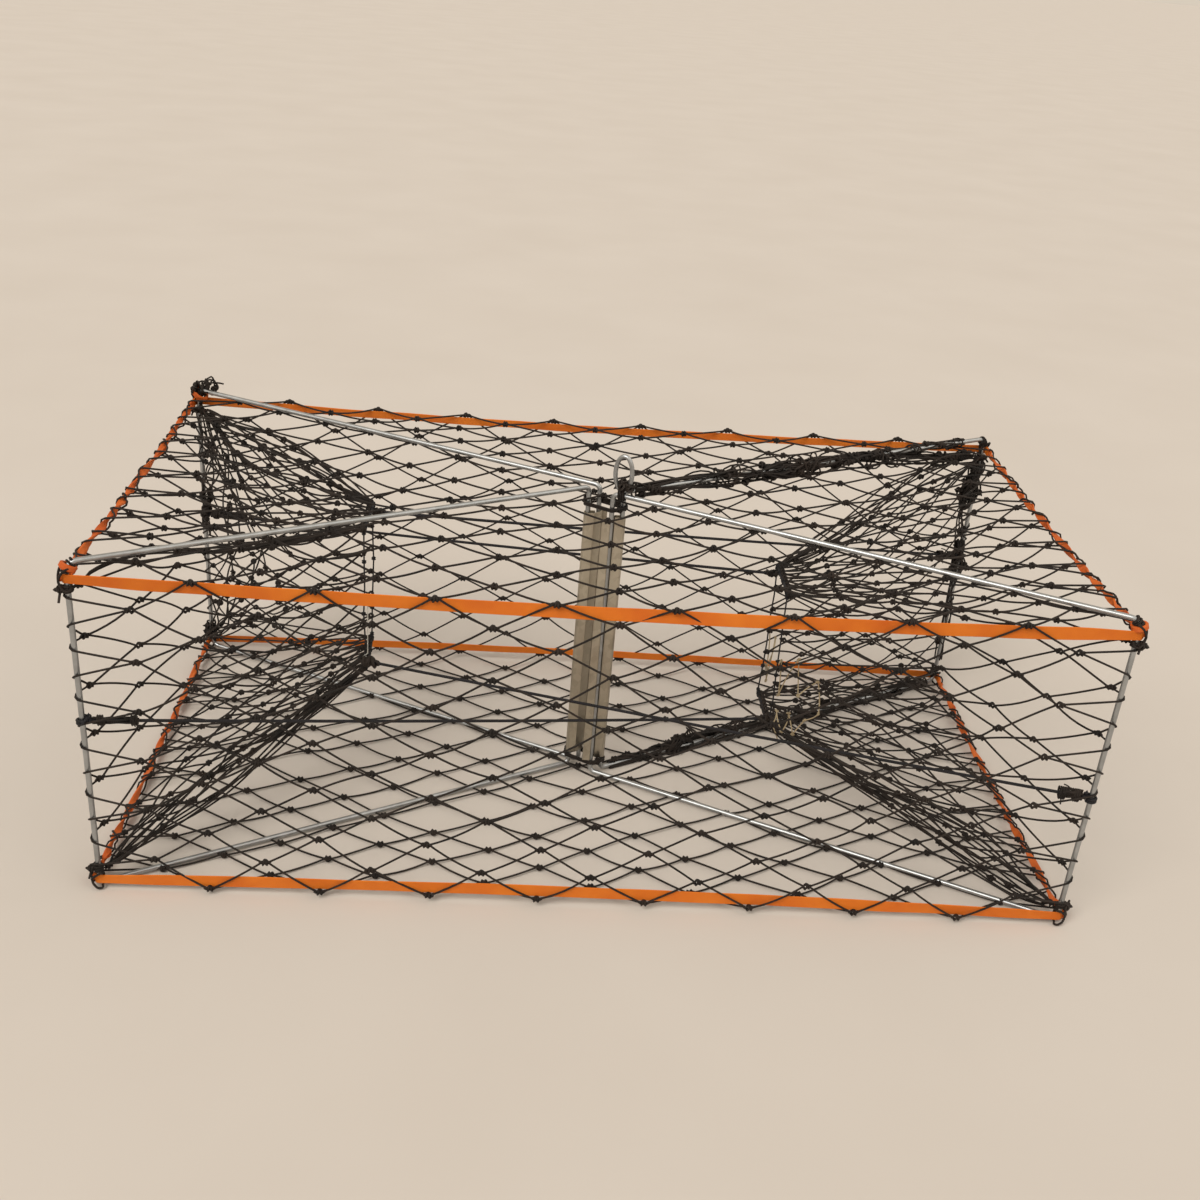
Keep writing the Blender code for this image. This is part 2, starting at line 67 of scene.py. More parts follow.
# Camera: it stands in front of the trap, a little to the left of its middle, and looks down on it
# from about twice the trap's height.
bpy.ops.object.camera_add(
    location=(-0.0871, -1.2273, 0.8107),
    rotation=[math.radians(angle) for angle in (63.7284, -4.3924, -2.0086)],
)
camera = bpy.context.object
camera.name = "camera"
camera.data.sensor_width = 36
camera.data.lens = 40.085
bpy.context.scene.camera = camera
bpy.context.scene.view_settings.view_transform = "Standard"


# Floor: plain pale cloth laid flat, a warm light grey with the shade of faint folds painted into its colour.
# It runs on past every view, so no edge of it shows.
DARK, LIGHT = 6, 7  # a Mix node's sockets for its two colours; the mixed colour is its output 2


def linear(colour):
    """The linear value of a colour written as sRGB hex."""
    shares = [int(colour[place : place + 2], 16) / 255 for place in (1, 3, 5)]
    return [s / 12.92 if s <= 0.04045 else ((s + 0.055) / 1.055) ** 2.4 for s in shares] + [1.0]


def add(tree, kind, settings=(), links=()):
    """One shader node with its settings, its sockets by name or number, and what is linked into it."""
    made = tree.nodes.new("ShaderNode" + kind)
    for name, value in dict(settings).items():
        if isinstance(name, str) and hasattr(made, name):
            setattr(made, name, value)
        else:
            made.inputs[name].default_value = value
    for name, source in dict(links).items():
        tree.links.new(source, made.inputs[name])
    return made


def material(name, settings):
    """A new material, its node tree, its shader with its even settings, and its Object coordinates."""
    made = bpy.data.materials.new(name)
    made.use_nodes = True
    tree = made.node_tree
    shader = tree.nodes["Principled BSDF"]
    for socket, value in settings.items():
        shader.inputs[socket].default_value = value
    return made, tree, shader, add(tree, "TexCoord").outputs["Object"]


def feed(tree, shader, sources):
    """Links what varies over a surface into its shader, by the names of the sockets."""
    for socket, source in sources.items():
        tree.links.new(source, shader.inputs[socket])


bpy.ops.mesh.primitive_plane_add(size=180, location=(0, 0, -0.0002))
floor = bpy.context.object
floor.name = "floor"
floor_cloth, tree, shader, place = material("pale_cloth_floor", {"Roughness": 0.9})
# Painted shade of faint folds: soft patches of lighter and darker grey.
painted_fold_shade = add(tree, "TexNoise", {"Scale": 3.0, "Detail": 3.0}, {"Vector": place}).outputs["Fac"]
colours = {"data_type": "RGBA", DARK: linear("#D2C7BA"), LIGHT: linear("#DBD1C5")}
feed(tree, shader, {"Base Color": add(tree, "Mix", colours, {0: painted_fold_shade}).outputs[2]})
floor.data.materials.append(floor_cloth)


# Studio light: a wide soft light high in front to the left, a weaker one from the right, and a pale
# room. Both are suns seen through a wide cloth, so the floor is lit evenly as far as it goes.
for at, strength, softness in (((-1.6, -1.9, 2.6), 1.9, 34), ((2.2, -0.6, 2.2), 0.7, 60)):
    bpy.ops.object.light_add(type="SUN", location=at)
    lamp = bpy.context.object
    lamp.data.energy = strength
    lamp.data.angle = math.radians(softness)
    lamp.data.color = (1.0, 0.97, 0.93)
    lamp.rotation_euler = (-lamp.location).to_track_quat("-Z", "Y").to_euler()
room = bpy.data.worlds.new("pale_room")
bpy.context.scene.world = room
room.use_nodes = True
tree = room.node_tree
light = tree.nodes["Background"]
light.inputs["Color"].default_value = linear("#E4DED6")
light.inputs["Strength"].default_value = 0.55
seen = add(tree, "Background", {"Color": linear("#D8CCBB")})
rays = add(tree, "LightPath").outputs
direct = rays["Is Camera Ray"]
for kind in ("Is Glossy Ray", "Is Transmission Ray"):
    direct = add(tree, "Math", {"operation": "MAXIMUM"}, {0: direct, 1: rays[kind]}).outputs[0]
either = add(tree, "MixShader", {}, {0: direct, 1: light.outputs[0], 2: seen.outputs[0]})
tree.links.new(either.outputs[0], tree.nodes["World Output"].inputs["Surface"])


# Arms: four rectangles of 5 mm galvanised wire, bent at the corners and butt welded on the inner
# upright. The zinc is a dull silver, with slight runs and a fine grain.
FLOOR_GAP = 0.0003
WIRE = 0.005
BAR_LOW, BAR_HIGH = 0.0044, 0.3274
INNER_BEND, OUTER_BEND = 0.006, 0.010
BENDS = (  # each corner's radius, and whether it is at the far end and at the top
    (INNER_BEND, 0, 0), (OUTER_BEND, 1, 0), (OUTER_BEND, 1, 1), (INNER_BEND, 0, 1),
)
WELD_LOW, WELD_BEAD = 0.150, (0.0046, 0.0053, 0.0057, 0.0058, 0.0056, 0.0052, 0.0046)
REACH_X, REACH_Y = 0.45, 0.23
PINS = {
    "front_left": Vector((-0.017, 0.0042)),
    "back_left": Vector((-0.006, 0.0104)),
    "front_right": Vector((0.006, -0.0104)),
    "back_right": Vector((0.017, -0.0042)),
}
CORNERS = {
    name: Vector((-REACH_X if "left" in name else REACH_X, -REACH_Y if "front" in name else REACH_Y))
    for name in PINS
}


def skin(points, run, left, right, closed=False):
    """Faces and UV between the rings of points along each line, with caps on open ends. The UV are the
    run along the line, and a left and a right value for each side of the ring."""
    count, steps, sides = points.shape[:3]
    rings = steps if closed else steps - 1
    ring, spoke, tube = np.meshgrid(range(rings), range(sides), range(count), indexing="ij")
    first = tube * steps * sides
    here, there = first + ring * sides, first + (ring + 1) % steps * sides
    following = (spoke + 1) % sides
    faces = np.stack([here + spoke, here + following, there + following, there + spoke], -1)
    low, high, near, far = run[tube, ring], run[tube, ring + 1], left[spoke], right[spoke]
    uv = np.stack([low, near, low, far, high, far, high, near], -1)
    shells = [(faces.reshape(-1, 4), uv.reshape(-1, 4, 2))]
    if not closed:
        starts, ends = np.arange(count)[:, None] * steps * sides, np.arange(sides)
        caps = np.concatenate([starts + ends[::-1], starts + (steps - 1) * sides + ends])
        shells.append((caps, np.zeros((*caps.shape, 2))))
    return points.reshape(-1, 3), shells


def tubes(lines, thickness, sides=6, closed=False):
    """Round tubes along lines that have the same number of points, with UV in metres and turns."""
    lines = np.array(lines, float)
    count, steps = lines.shape[:2]
    ahead = np.roll(lines, -1, 1) - np.roll(lines, 1, 1) if closed else np.gradient(lines, axis=1)
    ahead /= np.linalg.norm(ahead, axis=2, keepdims=True)
    side = np.cross(ahead[:, 0], np.where(abs(ahead[:, 0, 2:]) < 0.8, [[0, 0, 1]], [[1, 0, 0]]))
    carried = []
    for step in range(steps):
        side = side - ahead[:, step] * (side * ahead[:, step]).sum(1, keepdims=True)
        side = side / np.linalg.norm(side, axis=1, keepdims=True)
        carried.append(side)
    side = np.stack(carried, 1)[:, :, None]
    over = np.cross(ahead, side[:, :, 0])[:, :, None]
    turn = (np.arange(sides) * math.tau / sides)[:, None]
    radius = np.broadcast_to(np.asarray(thickness, float) / 2, (count, steps))[..., None, None]
    points = lines[:, :, None] + (side * np.cos(turn) + over * np.sin(turn)) * radius
    run = np.cumsum(np.linalg.norm(np.diff(lines[:, [*range(steps), 0]], axis=1), axis=2), axis=1)
    run = np.concatenate([np.zeros((count, 1)), run], 1)
    return skin(points, run, np.arange(sides) / sides, (np.arange(sides) + 1) / sides, closed)


def pick(made):
    """Puts a new object in the scene as the only one that is selected."""
    bpy.context.scene.collection.objects.link(made)
    bpy.ops.object.select_all(action="DESELECT")
    made.select_set(True)
    bpy.context.view_layer.objects.active = made


def build(name, parts, finish, angle=50):
    """One smooth shaded mesh object from parts, each its points and its shells of faces and UV."""
    shells, used = [], 0
    for points, part_shells in parts:
        shells += [(faces + used, uv) for faces, uv in part_shells]
        used += len(points)
    points = np.concatenate([points for points, _ in parts])
    points[:, 2] = np.maximum(points[:, 2], FLOOR_GAP)
    corners = np.concatenate([faces.ravel() for faces, _ in shells])
    totals = np.concatenate([np.full(len(faces), faces.shape[1]) for faces, _ in shells])
    mesh = bpy.data.meshes.new(name)
    mesh.vertices.add(used)
    mesh.vertices.foreach_set("co", points.ravel())
    mesh.loops.add(len(corners))
    mesh.loops.foreach_set("vertex_index", corners)
    mesh.polygons.add(len(totals))
    mesh.polygons.foreach_set("loop_start", np.concatenate([[0], np.cumsum(totals)[:-1]]))
    mesh.polygons.foreach_set("loop_total", totals)
    mesh.update(calc_edges=True)
    run = mesh.uv_layers.new(name="run")
    run.data.foreach_set("uv", np.concatenate([uv.ravel() for _, uv in shells]))
    mesh.materials.append(finish)
    made = bpy.data.objects.new(name, mesh)
    pick(made)
    bpy.ops.object.shade_smooth_by_angle(angle=math.radians(angle))
    return made


def on_arm(name, points):
    """Points along an arm, beside it and up, put in their place on the trap."""
    along = (CORNERS[name] - PINS[name]).normalized()
    beside = Vector((-along.y, along.x))
    return [(*(PINS[name] + along * x + beside * y), z) for x, y, z in points]


def fitted(piece, body, slot, *nodes):
    """A piece moves with its body and stands for its nodes. Its slot is not used."""
    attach(piece, body)
    if nodes:
        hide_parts(*nodes)


galvanised_wire, tree, shader, place = material("galvanised_steel_wire", {"Metallic": 1.0})
runs = add(tree, "TexNoise", {"Scale": 90.0, "Detail": 4.0}, {"Vector": place}).outputs["Fac"]  # 11 mm
grains = add(tree, "TexNoise", {"Scale": 700.0, "Detail": 2.0}, {"Vector": place}).outputs["Fac"]  # 1.4 mm
colours = {"data_type": "RGBA", DARK: linear("#8C8F90"), LIGHT: linear("#C3C6C8")}
feed(tree, shader, {
    "Base Color": add(tree, "Mix", colours, {0: runs}).outputs[2],
    "Roughness": add(tree, "MapRange", {"To Min": 0.26, "To Max": 0.5}, {"Value": runs}).outputs[0],
    "Normal": add(tree, "Bump", {"Strength": 0.12, "Distance": 0.0002}, {"Height": grains}).outputs[0],
})

for name, pin in PINS.items():
    reach = (CORNERS[name] - pin).length
    loop = []
    for corner, (radius, far, high) in enumerate(BENDS):
        inward = Vector((1 - 2 * far, 1 - 2 * high)) * radius
        middle = Vector((reach * far, BAR_HIGH if high else BAR_LOW)) + inward
        for step in range(9):
            angle = math.pi + (corner + step / 8) * math.pi / 2
            loop.append((middle.x + radius * math.cos(angle), 0, middle.y + radius * math.sin(angle)))
        if corner == 0:
            loop += [(reach * share, 0, BAR_LOW) for share in (0.25, 0.5, 0.75)]
    weld = [(0, 0, WELD_LOW + step * 0.0012) for step in range(len(WELD_BEAD))]
    parts = [tubes([on_arm(name, loop)], WIRE, 14, True), tubes([on_arm(name, weld)], WELD_BEAD, 14)]
    arm = build(name + "_arm_wire", parts, galvanised_wire)
    fitted(arm, "arm_" + name, "galvanised_wire", name + "_arm")


# Lifting ring: an oval of 4.5 mm galvanised wire that stands on the front right arm's top bar.
# It is bent round and closed with a weld, and it lifts the trap and folds it.
RING_WIRE, RING_HALF_WIDE, RING_HALF_TALL = 0.0045, 0.00875, 0.01775
RING_ALONG, RING_FOOT = 0.009, 0.33245
ring_foot = Vector(on_arm("front_right", [(RING_ALONG, 0, RING_FOOT)])[0])
ring_way = Vector((*(CORNERS["front_right"] - PINS["front_right"]).normalized(), 0))
bpy.ops.mesh.primitive_circle_add(vertices=40, radius=1)
circle = bpy.context.object
round_points = [v.co.copy() for v in circle.data.vertices]
bpy.data.objects.remove(circle)
oval = [
    ring_foot + ring_way * RING_HALF_WIDE * point.x + Vector((0, 0, RING_HALF_TALL * (1 - point.y)))
    for point in round_points
]
ring = build("lifting_ring_wire", [tubes([oval], RING_WIRE, 14, True)], galvanised_wire)
fitted(ring, "ring", "galvanised_wire", "lifting_ring")


# Post clasps: two strips of 1 mm galvanised sheet, each folded round two of the arms' uprights.
# They lie face to face and slide past each other. The zinc is smooth and shows its spangle.
galvanised_sheet, tree, shader, place = material("galvanised_sheet_steel", {"Metallic": 1.0})
spangle = add(tree, "TexVoronoi", {"Scale": 160.0}, {"Vector": place}).outputs["Color"]  # 6 mm crystals
flake = add(tree, "SeparateColor", links={"Color": spangle}).outputs["Red"]
stretched = add(tree, "Mapping", {"Scale": (700.0, 700.0, 5.0)}, {"Vector": place}).outputs["Vector"]
drawn = add(tree, "TexNoise", {"Scale": 1.0, "Detail": 2.0}, {"Vector": stretched}).outputs["Fac"]
# The base is zinc grey tinted warm: partly the zinc's own tone, partly a painted reflection of the tan cloth
# round it. Its lighter and darker flakes are the spangle.
colours = {"data_type": "RGBA", DARK: linear("#AEA696"), LIGHT: linear("#BFB7A7")}
feed(tree, shader, {
    "Base Color": add(tree, "Mix", colours, {0: flake}).outputs[2],
    "Roughness": add(tree, "MapRange", {"To Min": 0.3, "To Max": 0.42}, {"Value": flake}).outputs[0],
    "Normal": add(tree, "Bump", {"Strength": 0.05, "Distance": 0.0001}, {"Height": drawn}).outputs[0],
})

CLASP_LOW, CLASP_HIGH = 0.020, 0.301
SHEET, HEM, LIP_BEND = 0.001, 0.00335, 0.00085
inner, outer = PINS["front_right"], PINS["back_right"]
web_y = outer.y + HEM
lip = inner + (HEM + LIP_BEND) * Vector((math.cos(math.radians(240)), math.sin(math.radians(240))))
profile = [Vector((-0.0030, -0.0139)), Vector((-0.0026, -0.0144)), Vector((0.0016, -0.0146))]
for step in range(9):
    angle = math.radians(-120 + 180 * step / 8)
    profile.append(lip + LIP_BEND * Vector((math.cos(angle), math.sin(angle))))
for step in range(1, 15):
    angle = math.radians(240 + (135 - 240) * step / 14)
    profile.append(inner + HEM * Vector((math.cos(angle), math.sin(angle))))
profile.append(Vector((profile[-1].x + (web_y - profile[-1].y), web_y)))
for step in range(19):
    angle = math.pi / 2 - math.pi * step / 18
    profile.append(outer + HEM * Vector((math.cos(angle), math.sin(angle))))
profile.append(Vector((inner.x + 0.0035, outer.y - HEM)))
for side, turned in (("right", 1), ("left", -1)):
    shape = bmesh.new()
    low = [shape.verts.new((*(point * turned), CLASP_LOW)) for point in profile]
    for start, end in zip(low, low[1:]):
        shape.edges.new((start, end))
    mesh = bpy.data.meshes.new(side + "_clasp_sheet")
    shape.to_mesh(mesh)
    shape.free()
    clasp = bpy.data.objects.new(side + "_clasp_sheet", mesh)
    pick(clasp)
    bpy.ops.object.mode_set(mode="EDIT")
    bpy.ops.mesh.select_all(action="SELECT")
    bpy.ops.mesh.extrude_region_move(TRANSFORM_OT_translate={"value": (0, 0, CLASP_HIGH - CLASP_LOW)})
    bpy.ops.mesh.select_all(action="SELECT")
    bpy.ops.mesh.normals_make_consistent(inside=False)
    bpy.ops.object.mode_set(mode="OBJECT")
    wall = clasp.modifiers.new("sheet", "SOLIDIFY")
    wall.thickness, wall.offset = SHEET, 0
    bpy.ops.object.modifier_apply(modifier=wall.name)
    edges = clasp.modifiers.new("cut_edges", "BEVEL")
    edges.width, edges.segments = 0.0002, 2
    edges.limit_method, edges.angle_limit = "ANGLE", math.radians(50)
    bpy.ops.object.modifier_apply(modifier=edges.name)
    bpy.ops.object.shade_smooth_by_angle(angle=math.radians(35))
    clasp.data.materials.append(galvanised_sheet)
    fitted(clasp, "post_" + side, "galvanised_sheet", side + "_clasp")


# Net: machine knotted black nylon twine, just under 2 mm thick, in diamonds of about 100 by 54 mm. It
# is one piece wrapped round the frame: front, top, back and bottom. Handling pulls its meshes uneven.
def laid_twine(name, dark, lighter_tone, pitch, groove):
    """Twine of three strands that wind along it once in each pitch, fuzzed, with patches of a lighter tone at
    random.
    """
    made, tree, shader, place = material(name, {"Roughness": 0.68, "Specular IOR Level": 0.35})
    run = add(tree, "UVMap", {"uv_map": "run"}).outputs["UV"]
    wound = add(tree, "SeparateXYZ", links={"Vector": run}).outputs
    turns = add(tree, "Math", {"operation": "MULTIPLY", 1: 3 / pitch}, {0: wound["X"]}).outputs[0]
    strands = add(tree, "Math", {"operation": "MULTIPLY_ADD", 1: 3.0}, {0: wound["Y"], 2: turns}).outputs[0]
    angle = add(tree, "Math", {"operation": "MULTIPLY", 1: math.tau}, {0: strands}).outputs[0]
    round_it = add(tree, "Math", {"operation": "SINE"}, {0: angle}).outputs[0]
    patch_noise = add(tree, "TexNoise", {"Scale": 35.0, "Detail": 3.0}, {"Vector": place}).outputs["Fac"]  # 29 mm
    fuzz = add(tree, "TexNoise", {"Scale": 2500.0, "Detail": 2.0}, {"Vector": place}).outputs["Fac"]
    fibre = add(tree, "Math", {"operation": "MULTIPLY_ADD", 1: 0.6}, {0: fuzz, 2: round_it}).outputs[0]
    patch_mask = add(tree, "MapRange", {"From Min": 0.3, "From Max": 0.75}, {"Value": patch_noise}).outputs[0]
    colours = {"data_type": "RGBA", DARK: linear(dark), LIGHT: linear(lighter_tone)}
    feed(tree, shader, {
        "Base Color": add(tree, "Mix", colours, {0: patch_mask}).outputs[2],
        "Normal": add(tree, "Bump", {"Strength": 0.7, "Distance": groove}, {"Height": fibre}).outputs[0],
    })
    return made


black_nylon = laid_twine("tarred_nylon_twine", "#110D0A", "#2F251E", 0.005, 0.00025)
TWINE = 0.0019
KNOT_HALF = 0.0024


def net_plan(columns, rows):
    """Knots and bars of a net: a grid with each square poked and its straight edges taken out."""
    bpy.ops.mesh.primitive_grid_add(x_subdivisions=columns, y_subdivisions=rows, size=2)
    plan = bpy.context.object
    bpy.ops.object.mode_set(mode="EDIT")
    bpy.ops.mesh.select_mode(type="EDGE")
    bpy.ops.mesh.select_all(action="SELECT")
    bpy.ops.mesh.poke()
    cut = bmesh.from_edit_mesh(plan.data)
    for edge in cut.edges:
        run = edge.verts[0].co - edge.verts[1].co
        edge.select_set(min(abs(run.x), abs(run.y)) < 0.0001)
    bmesh.update_edit_mesh(plan.data)
    bpy.ops.mesh.delete(type="EDGE")
    bpy.ops.object.mode_set(mode="OBJECT")
    knots = np.array([v.co[:2] for v in plan.data.vertices]) / 2 + 0.5
    bars = np.array([e.vertices[:] for e in plan.data.edges])
    bpy.data.objects.remove(plan)
    return knots, bars


def knot_shape():
    """A pulled tight mesh knot: a loop that lies in the net, a turn that grips it and a turn beside."""
    for major, minor, along, stretch in ((0.0024, 0.00105, -0.0011, 1.25), (0.0023, 0.0010, 0.0012, 1.45)):
        bpy.ops.mesh.primitive_torus_add(
            major_segments=8, minor_segments=4, major_radius=major, minor_radius=minor,
            location=(along, 0, 0), rotation=(0, math.pi / 2, math.copysign(0.35, along)),
        )
        bpy.context.object.scale = (1.0, 1.0, stretch * 0.8)
    bpy.ops.mesh.primitive_torus_add(
        major_segments=8, minor_segments=4, major_radius=0.0021, minor_radius=0.00105,
    )
    loop = bpy.context.object
    loop.scale = (1.75, 0.75, 1.0)
    for made in bpy.data.objects:
        made.select_set(made.name.startswith("Torus"))
    bpy.ops.object.join()
    bpy.ops.object.transform_apply(location=True, rotation=True, scale=True)
    points = np.array([v.co[:] for v in loop.data.vertices])
    faces = np.array([p.vertices[:] for p in loop.data.polygons])
    bpy.data.objects.remove(loop)
    return points, faces


KNOT_POINTS, KNOT_FACES = knot_shape()
KNOT_UV = [[0, 0], [0.001, 0], [0.001, 0.3], [0, 0.3]]


def unit(vectors):
    """The same directions, each one long."""
    return vectors / np.maximum(np.linalg.norm(vectors, axis=-1, keepdims=True), 1e-9)


def knots_at(centres, rows_way, outward, size=1.0):
    """Copies of the knot, each lying along its row of the net."""
    centres, rows_way, outward = (np.asarray(places, float) for places in (centres, rows_way, outward))
    turned = np.stack([rows_way, np.cross(outward, rows_way), outward], 1)
    points = centres[:, None] + np.einsum("pk,ckx->cpx", KNOT_POINTS * size, turned)
    first = (np.arange(len(centres)) * len(KNOT_POINTS))[:, None, None]
    faces = (KNOT_FACES[None] + first).reshape(-1, 4)
    return points.reshape(-1, 3), [(faces, np.tile(KNOT_UV, (len(faces), 1, 1)))]


noise.seed_set(5)


def drift(points, reach, grain):
    """A smooth wander for each point, the same wherever the same point is asked for."""
    return np.array([noise.noise_vector(Vector(point) / grain)[:] for point in points]) * reach


def steps_of(line):
    """How long each step of a line of points is."""
    return np.linalg.norm(np.diff(line, axis=0), axis=1)


def distances(line):
    """How far along a line each of its points lies."""
    return np.concatenate([[0], np.cumsum(steps_of(line))])


def eased(controls, steps):
    """A smooth run of points through a few places, evenly spaced along it."""
    controls = np.array(controls, float)
    for _ in range(3):
        cut = np.concatenate([controls[:1], np.repeat(controls[1:-1], 2, 0), controls[-1:]])
        cut = np.stack([cut[:-1] * 0.75 + cut[1:] * 0.25, cut[:-1] * 0.25 + cut[1:] * 0.75], 1)
        keep = np.linalg.norm(cut[:, 0] - cut[:, 1], axis=1) > 1e-7
        controls = np.concatenate([controls[:1], cut[keep].reshape(-1, 3), controls[-1:]])
    run = distances(controls)
    at = np.linspace(0, run[-1], steps)
    return np.stack([np.interp(at, run, controls[:, axis]) for axis in range(3)], 1)


def netting(columns, rows, where, pulled, slack, bare=None, detour=None, size=1.08, held=0.15):
    """Parts of a net whose plan is laid on a surface: where(u, v) gives its places in space. It has no
    knots where it is bare, and a detour leads the bars at its two ends round what holds the net."""
    plan, bars = net_plan(columns, rows)
    u, v = plan.T
    centres = where(u, v)
    step = 0.004
    rows_way = unit(where(u + step, v) - where(u - step, v))
    climb = unit(where(u, v + step) - where(u, v - step))
    outward = unit(np.cross(rows_way, climb))
    edge = np.minimum.reduce([u * columns, (1 - u) * columns, v * rows, (1 - v) * rows])
    moved = drift(centres, pulled, 0.17) + drift(centres, pulled * 0.35, 0.06)
    moved -= outward * (moved * outward).sum(1, keepdims=True) * 0.7
    centres = centres + moved * np.clip(edge * 1.6, held, 1)[:, None]
    centres[:, 2] = np.maximum(centres[:, 2], 0.0035)
    ends = centres[bars]
    way = unit(ends[:, 1] - ends[:, 0])
    leave = np.sign((way * rows_way[bars[:, 0]]).sum(1, keepdims=True)) * KNOT_HALF * size
    start = ends[:, 0] + rows_way[bars[:, 0]] * leave
    stop = ends[:, 1] - rows_way[bars[:, 1]] * leave
    share = np.linspace(0, 1, 7)[None, :, None]
    bow = drift((start + stop) / 2 + 7.0, slack, 0.013) + np.array([0, 0, -0.0010])
    lines = start[:, None] * (1 - share) + stop[:, None] * share
    lines = lines + bow[:, None] * 4 * share * (1 - share)
    lines[..., 2] = np.maximum(lines[..., 2], TWINE / 2 + 0.0001)
    led, plain = [], np.ones(len(bars), bool)
    for index, (inner, outer) in enumerate(bars if detour else ()):
        if u[inner] in (0, 1):
            inner, outer = outer, inner
        if u[outer] in (0, 1):
            plain[index] = False
            led.append(eased(detour(centres[inner], centres[outer], v[outer]), 22))
    tilt = unit(outward + drift(centres + 3.0, 0.5, 0.011))
    rows_way = unit(rows_way - tilt * (rows_way * tilt).sum(1, keepdims=True))
    kept = ~bare(u, v) if bare else np.ones(len(u), bool)
    parts = [tubes(lines[plain], TWINE), knots_at(centres[kept], rows_way[kept], tilt[kept], size)]
    return parts + ([tubes(led, TWINE)] if led else [])


NET_X, NET_Y = 0.4500, 0.2358
EDGE_LOW, EDGE_HIGH = 0.0030, 0.3205
MOUTH_X, MOUTH_Y, MOUTH_LOW, MOUTH_HIGH = 0.4425, 0.2235, 0.0185, 0.3045
TAPE_LOW, TAPE_HIGH = 0.0100, 0.3139
TAPE_X, TAPE_Y = 0.4538, 0.2315
END_TWIST = 17
CLEAR = 0.0002  # between a wire and the twine that lies round it


def rise(share):
    """A smooth step from 0 to 1."""
    share = np.clip(share, 0, 1)
    return share * share * (3 - 2 * share)


def tape_bow(x):
    """How far the net pulls a long tape in towards the trap's middle height."""
    return 0.006 * (1 - np.clip(x / TAPE_X, -1, 1) ** 2)


def side_net(facing, u, v):
    """The front or back of the net, from under the bottom tape to over the top one."""
    x = (u - 0.5) * 2 * NET_X
    low = EDGE_LOW + tape_bow(x)
    z = low + (EDGE_HIGH - tape_bow(x) - low) * v
    belly = NET_Y - 0.0036 * rise(np.minimum(v, 1 - v) * 7)
    return np.stack([x * facing, -facing * belly, z], 1)


def round_upright(inner, outer, v):
    """The last bars of a side net pass outside the corner upright to a knot behind it."""
    far, near = math.copysign(1, outer[0]), math.copysign(1, outer[1])
    target = np.array([far * MOUTH_X, near * MOUTH_Y, MOUTH_LOW + (MOUTH_HIGH - MOUTH_LOW) * v])
    hold = WIRE / 2 + TWINE / 2 + CLEAR
    path = [inner]
    for step in range(7):
        angle, share = math.pi * step / 6, 0.5 + 0.28 * step / 6
        path.append((
            far * (REACH_X + hold * math.sin(angle)),
            near * (REACH_Y + hold * math.cos(angle)),
            inner[2] * (1 - share) + target[2] * share,
        ))
    return [*path, target]


def flat_net(top, u, v):
    """The top or bottom of the net: it turns in over the tapes and lies against the arms' bars."""
    x, y = (u - 0.5) * 2 * NET_X, (v - 0.5) * 2 * NET_Y
    inside = NET_Y - abs(y)
    bow = tape_bow(x) * rise(abs(y) / NET_Y)
    if top:
        hung = 0.3232 - 0.006 * rise(abs(abs(y) / REACH_Y - abs(x) / REACH_X) * 2.2)
        edge = EDGE_HIGH - bow
        return np.stack([x, y, edge + (hung - edge) * rise(inside / 0.05)], 1)
    edge = EDGE_LOW + bow
    return np.stack([x, -y, edge + (0.0022 - edge) * rise(inside / 0.03)], 1)


def end_tape(share, out, height):
    """Where a folded end tape runs, and how far it has twisted: it lies flat on both uprights."""
    near_end = rise((abs(share) - 0.88) / 0.07)
    twists = [END_TWIST * end + 1.3 * math.sin(6 * end + out + height * 9) for end in (-1, 1)]
    lying = [round(twist / math.pi) * math.pi for twist in twists]
    lean = share * END_TWIST + 1.3 * np.sin(share * 6 + out + height * 9)
    lean = lean + (np.where(share < 0, *lying) - lean) * near_end
    x = 0.4531 + 0.0006 * np.cos(share * 9) + 0.0020 * near_end
    return np.stack([out * x, share * TAPE_Y, height - 0.003 * (1 - share * share)], 1), lean


def hug_tape(share, out, height, angle):
    """Places round an end tape where twine lies tight on it, at an angle about the tape's length."""
    line, lean = end_tape(share, out, height)
    way = np.stack([np.cos(angle), 0 * angle, np.sin(angle)], 1)
    across = abs(way[:, 0] * np.sin(lean) + way[:, 2] * np.cos(lean))
    hold = 0.0036 * across + 0.0013 * np.sqrt(np.maximum(1 - across**2, 0)) + TWINE / 2
    return line + way * hold[:, None]


def round_tape(top, inner, outer, _):
    """The last bars of the top or bottom net pass outside the end tape to a knot within it."""
    far = math.copysign(1, outer[0])
    y = outer[1] / NET_Y * MOUTH_Y
    step = np.linspace(0, 1, 9)
    share = 0.5 + 0.3 * step
    there = (inner[1] * (1 - share) + y * share) / TAPE_Y
    angle = math.pi / 2 - far * math.pi * step
    path = hug_tape(there, far, TAPE_HIGH, angle) if top else hug_tape(there, far, TAPE_LOW, -angle)
    path[:, 2] = np.maximum(path[:, 2], 0.0012)
    return [inner, *path, np.array([far * MOUTH_X, y, MOUTH_HIGH if top else MOUTH_LOW])]


def at_ends(u, v):
    """Which knots of a net lie on its two ends."""
    return (u < 0.001) | (u > 0.999)


def at_edges(u, v):
    """Which knots of a net lie on any of its four edges."""
    return at_ends(u, v) | at_ends(v, u)


def on_cover(piece, slot, *nodes):
    """A piece of the soft cover: it moves with the cover body and has a mesh of its own."""
    fitted(piece, "cover", slot, *nodes)
    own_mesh(piece)


for name, rows, where, bare, detour in (
    ("front", 6, partial(side_net, 1), at_ends, round_upright),
    ("back", 6, partial(side_net, -1), at_ends, round_upright),
    ("top", 9, partial(flat_net, True), at_edges, partial(round_tape, True)),
    ("bottom", 9, partial(flat_net, False), at_edges, partial(round_tape, False)),
):
    parts = netting(9, rows, where, 0.011, 0.0024, bare, detour)
    on_cover(build(name + "_netting", parts, black_nylon), "black_netting", name + "_net")


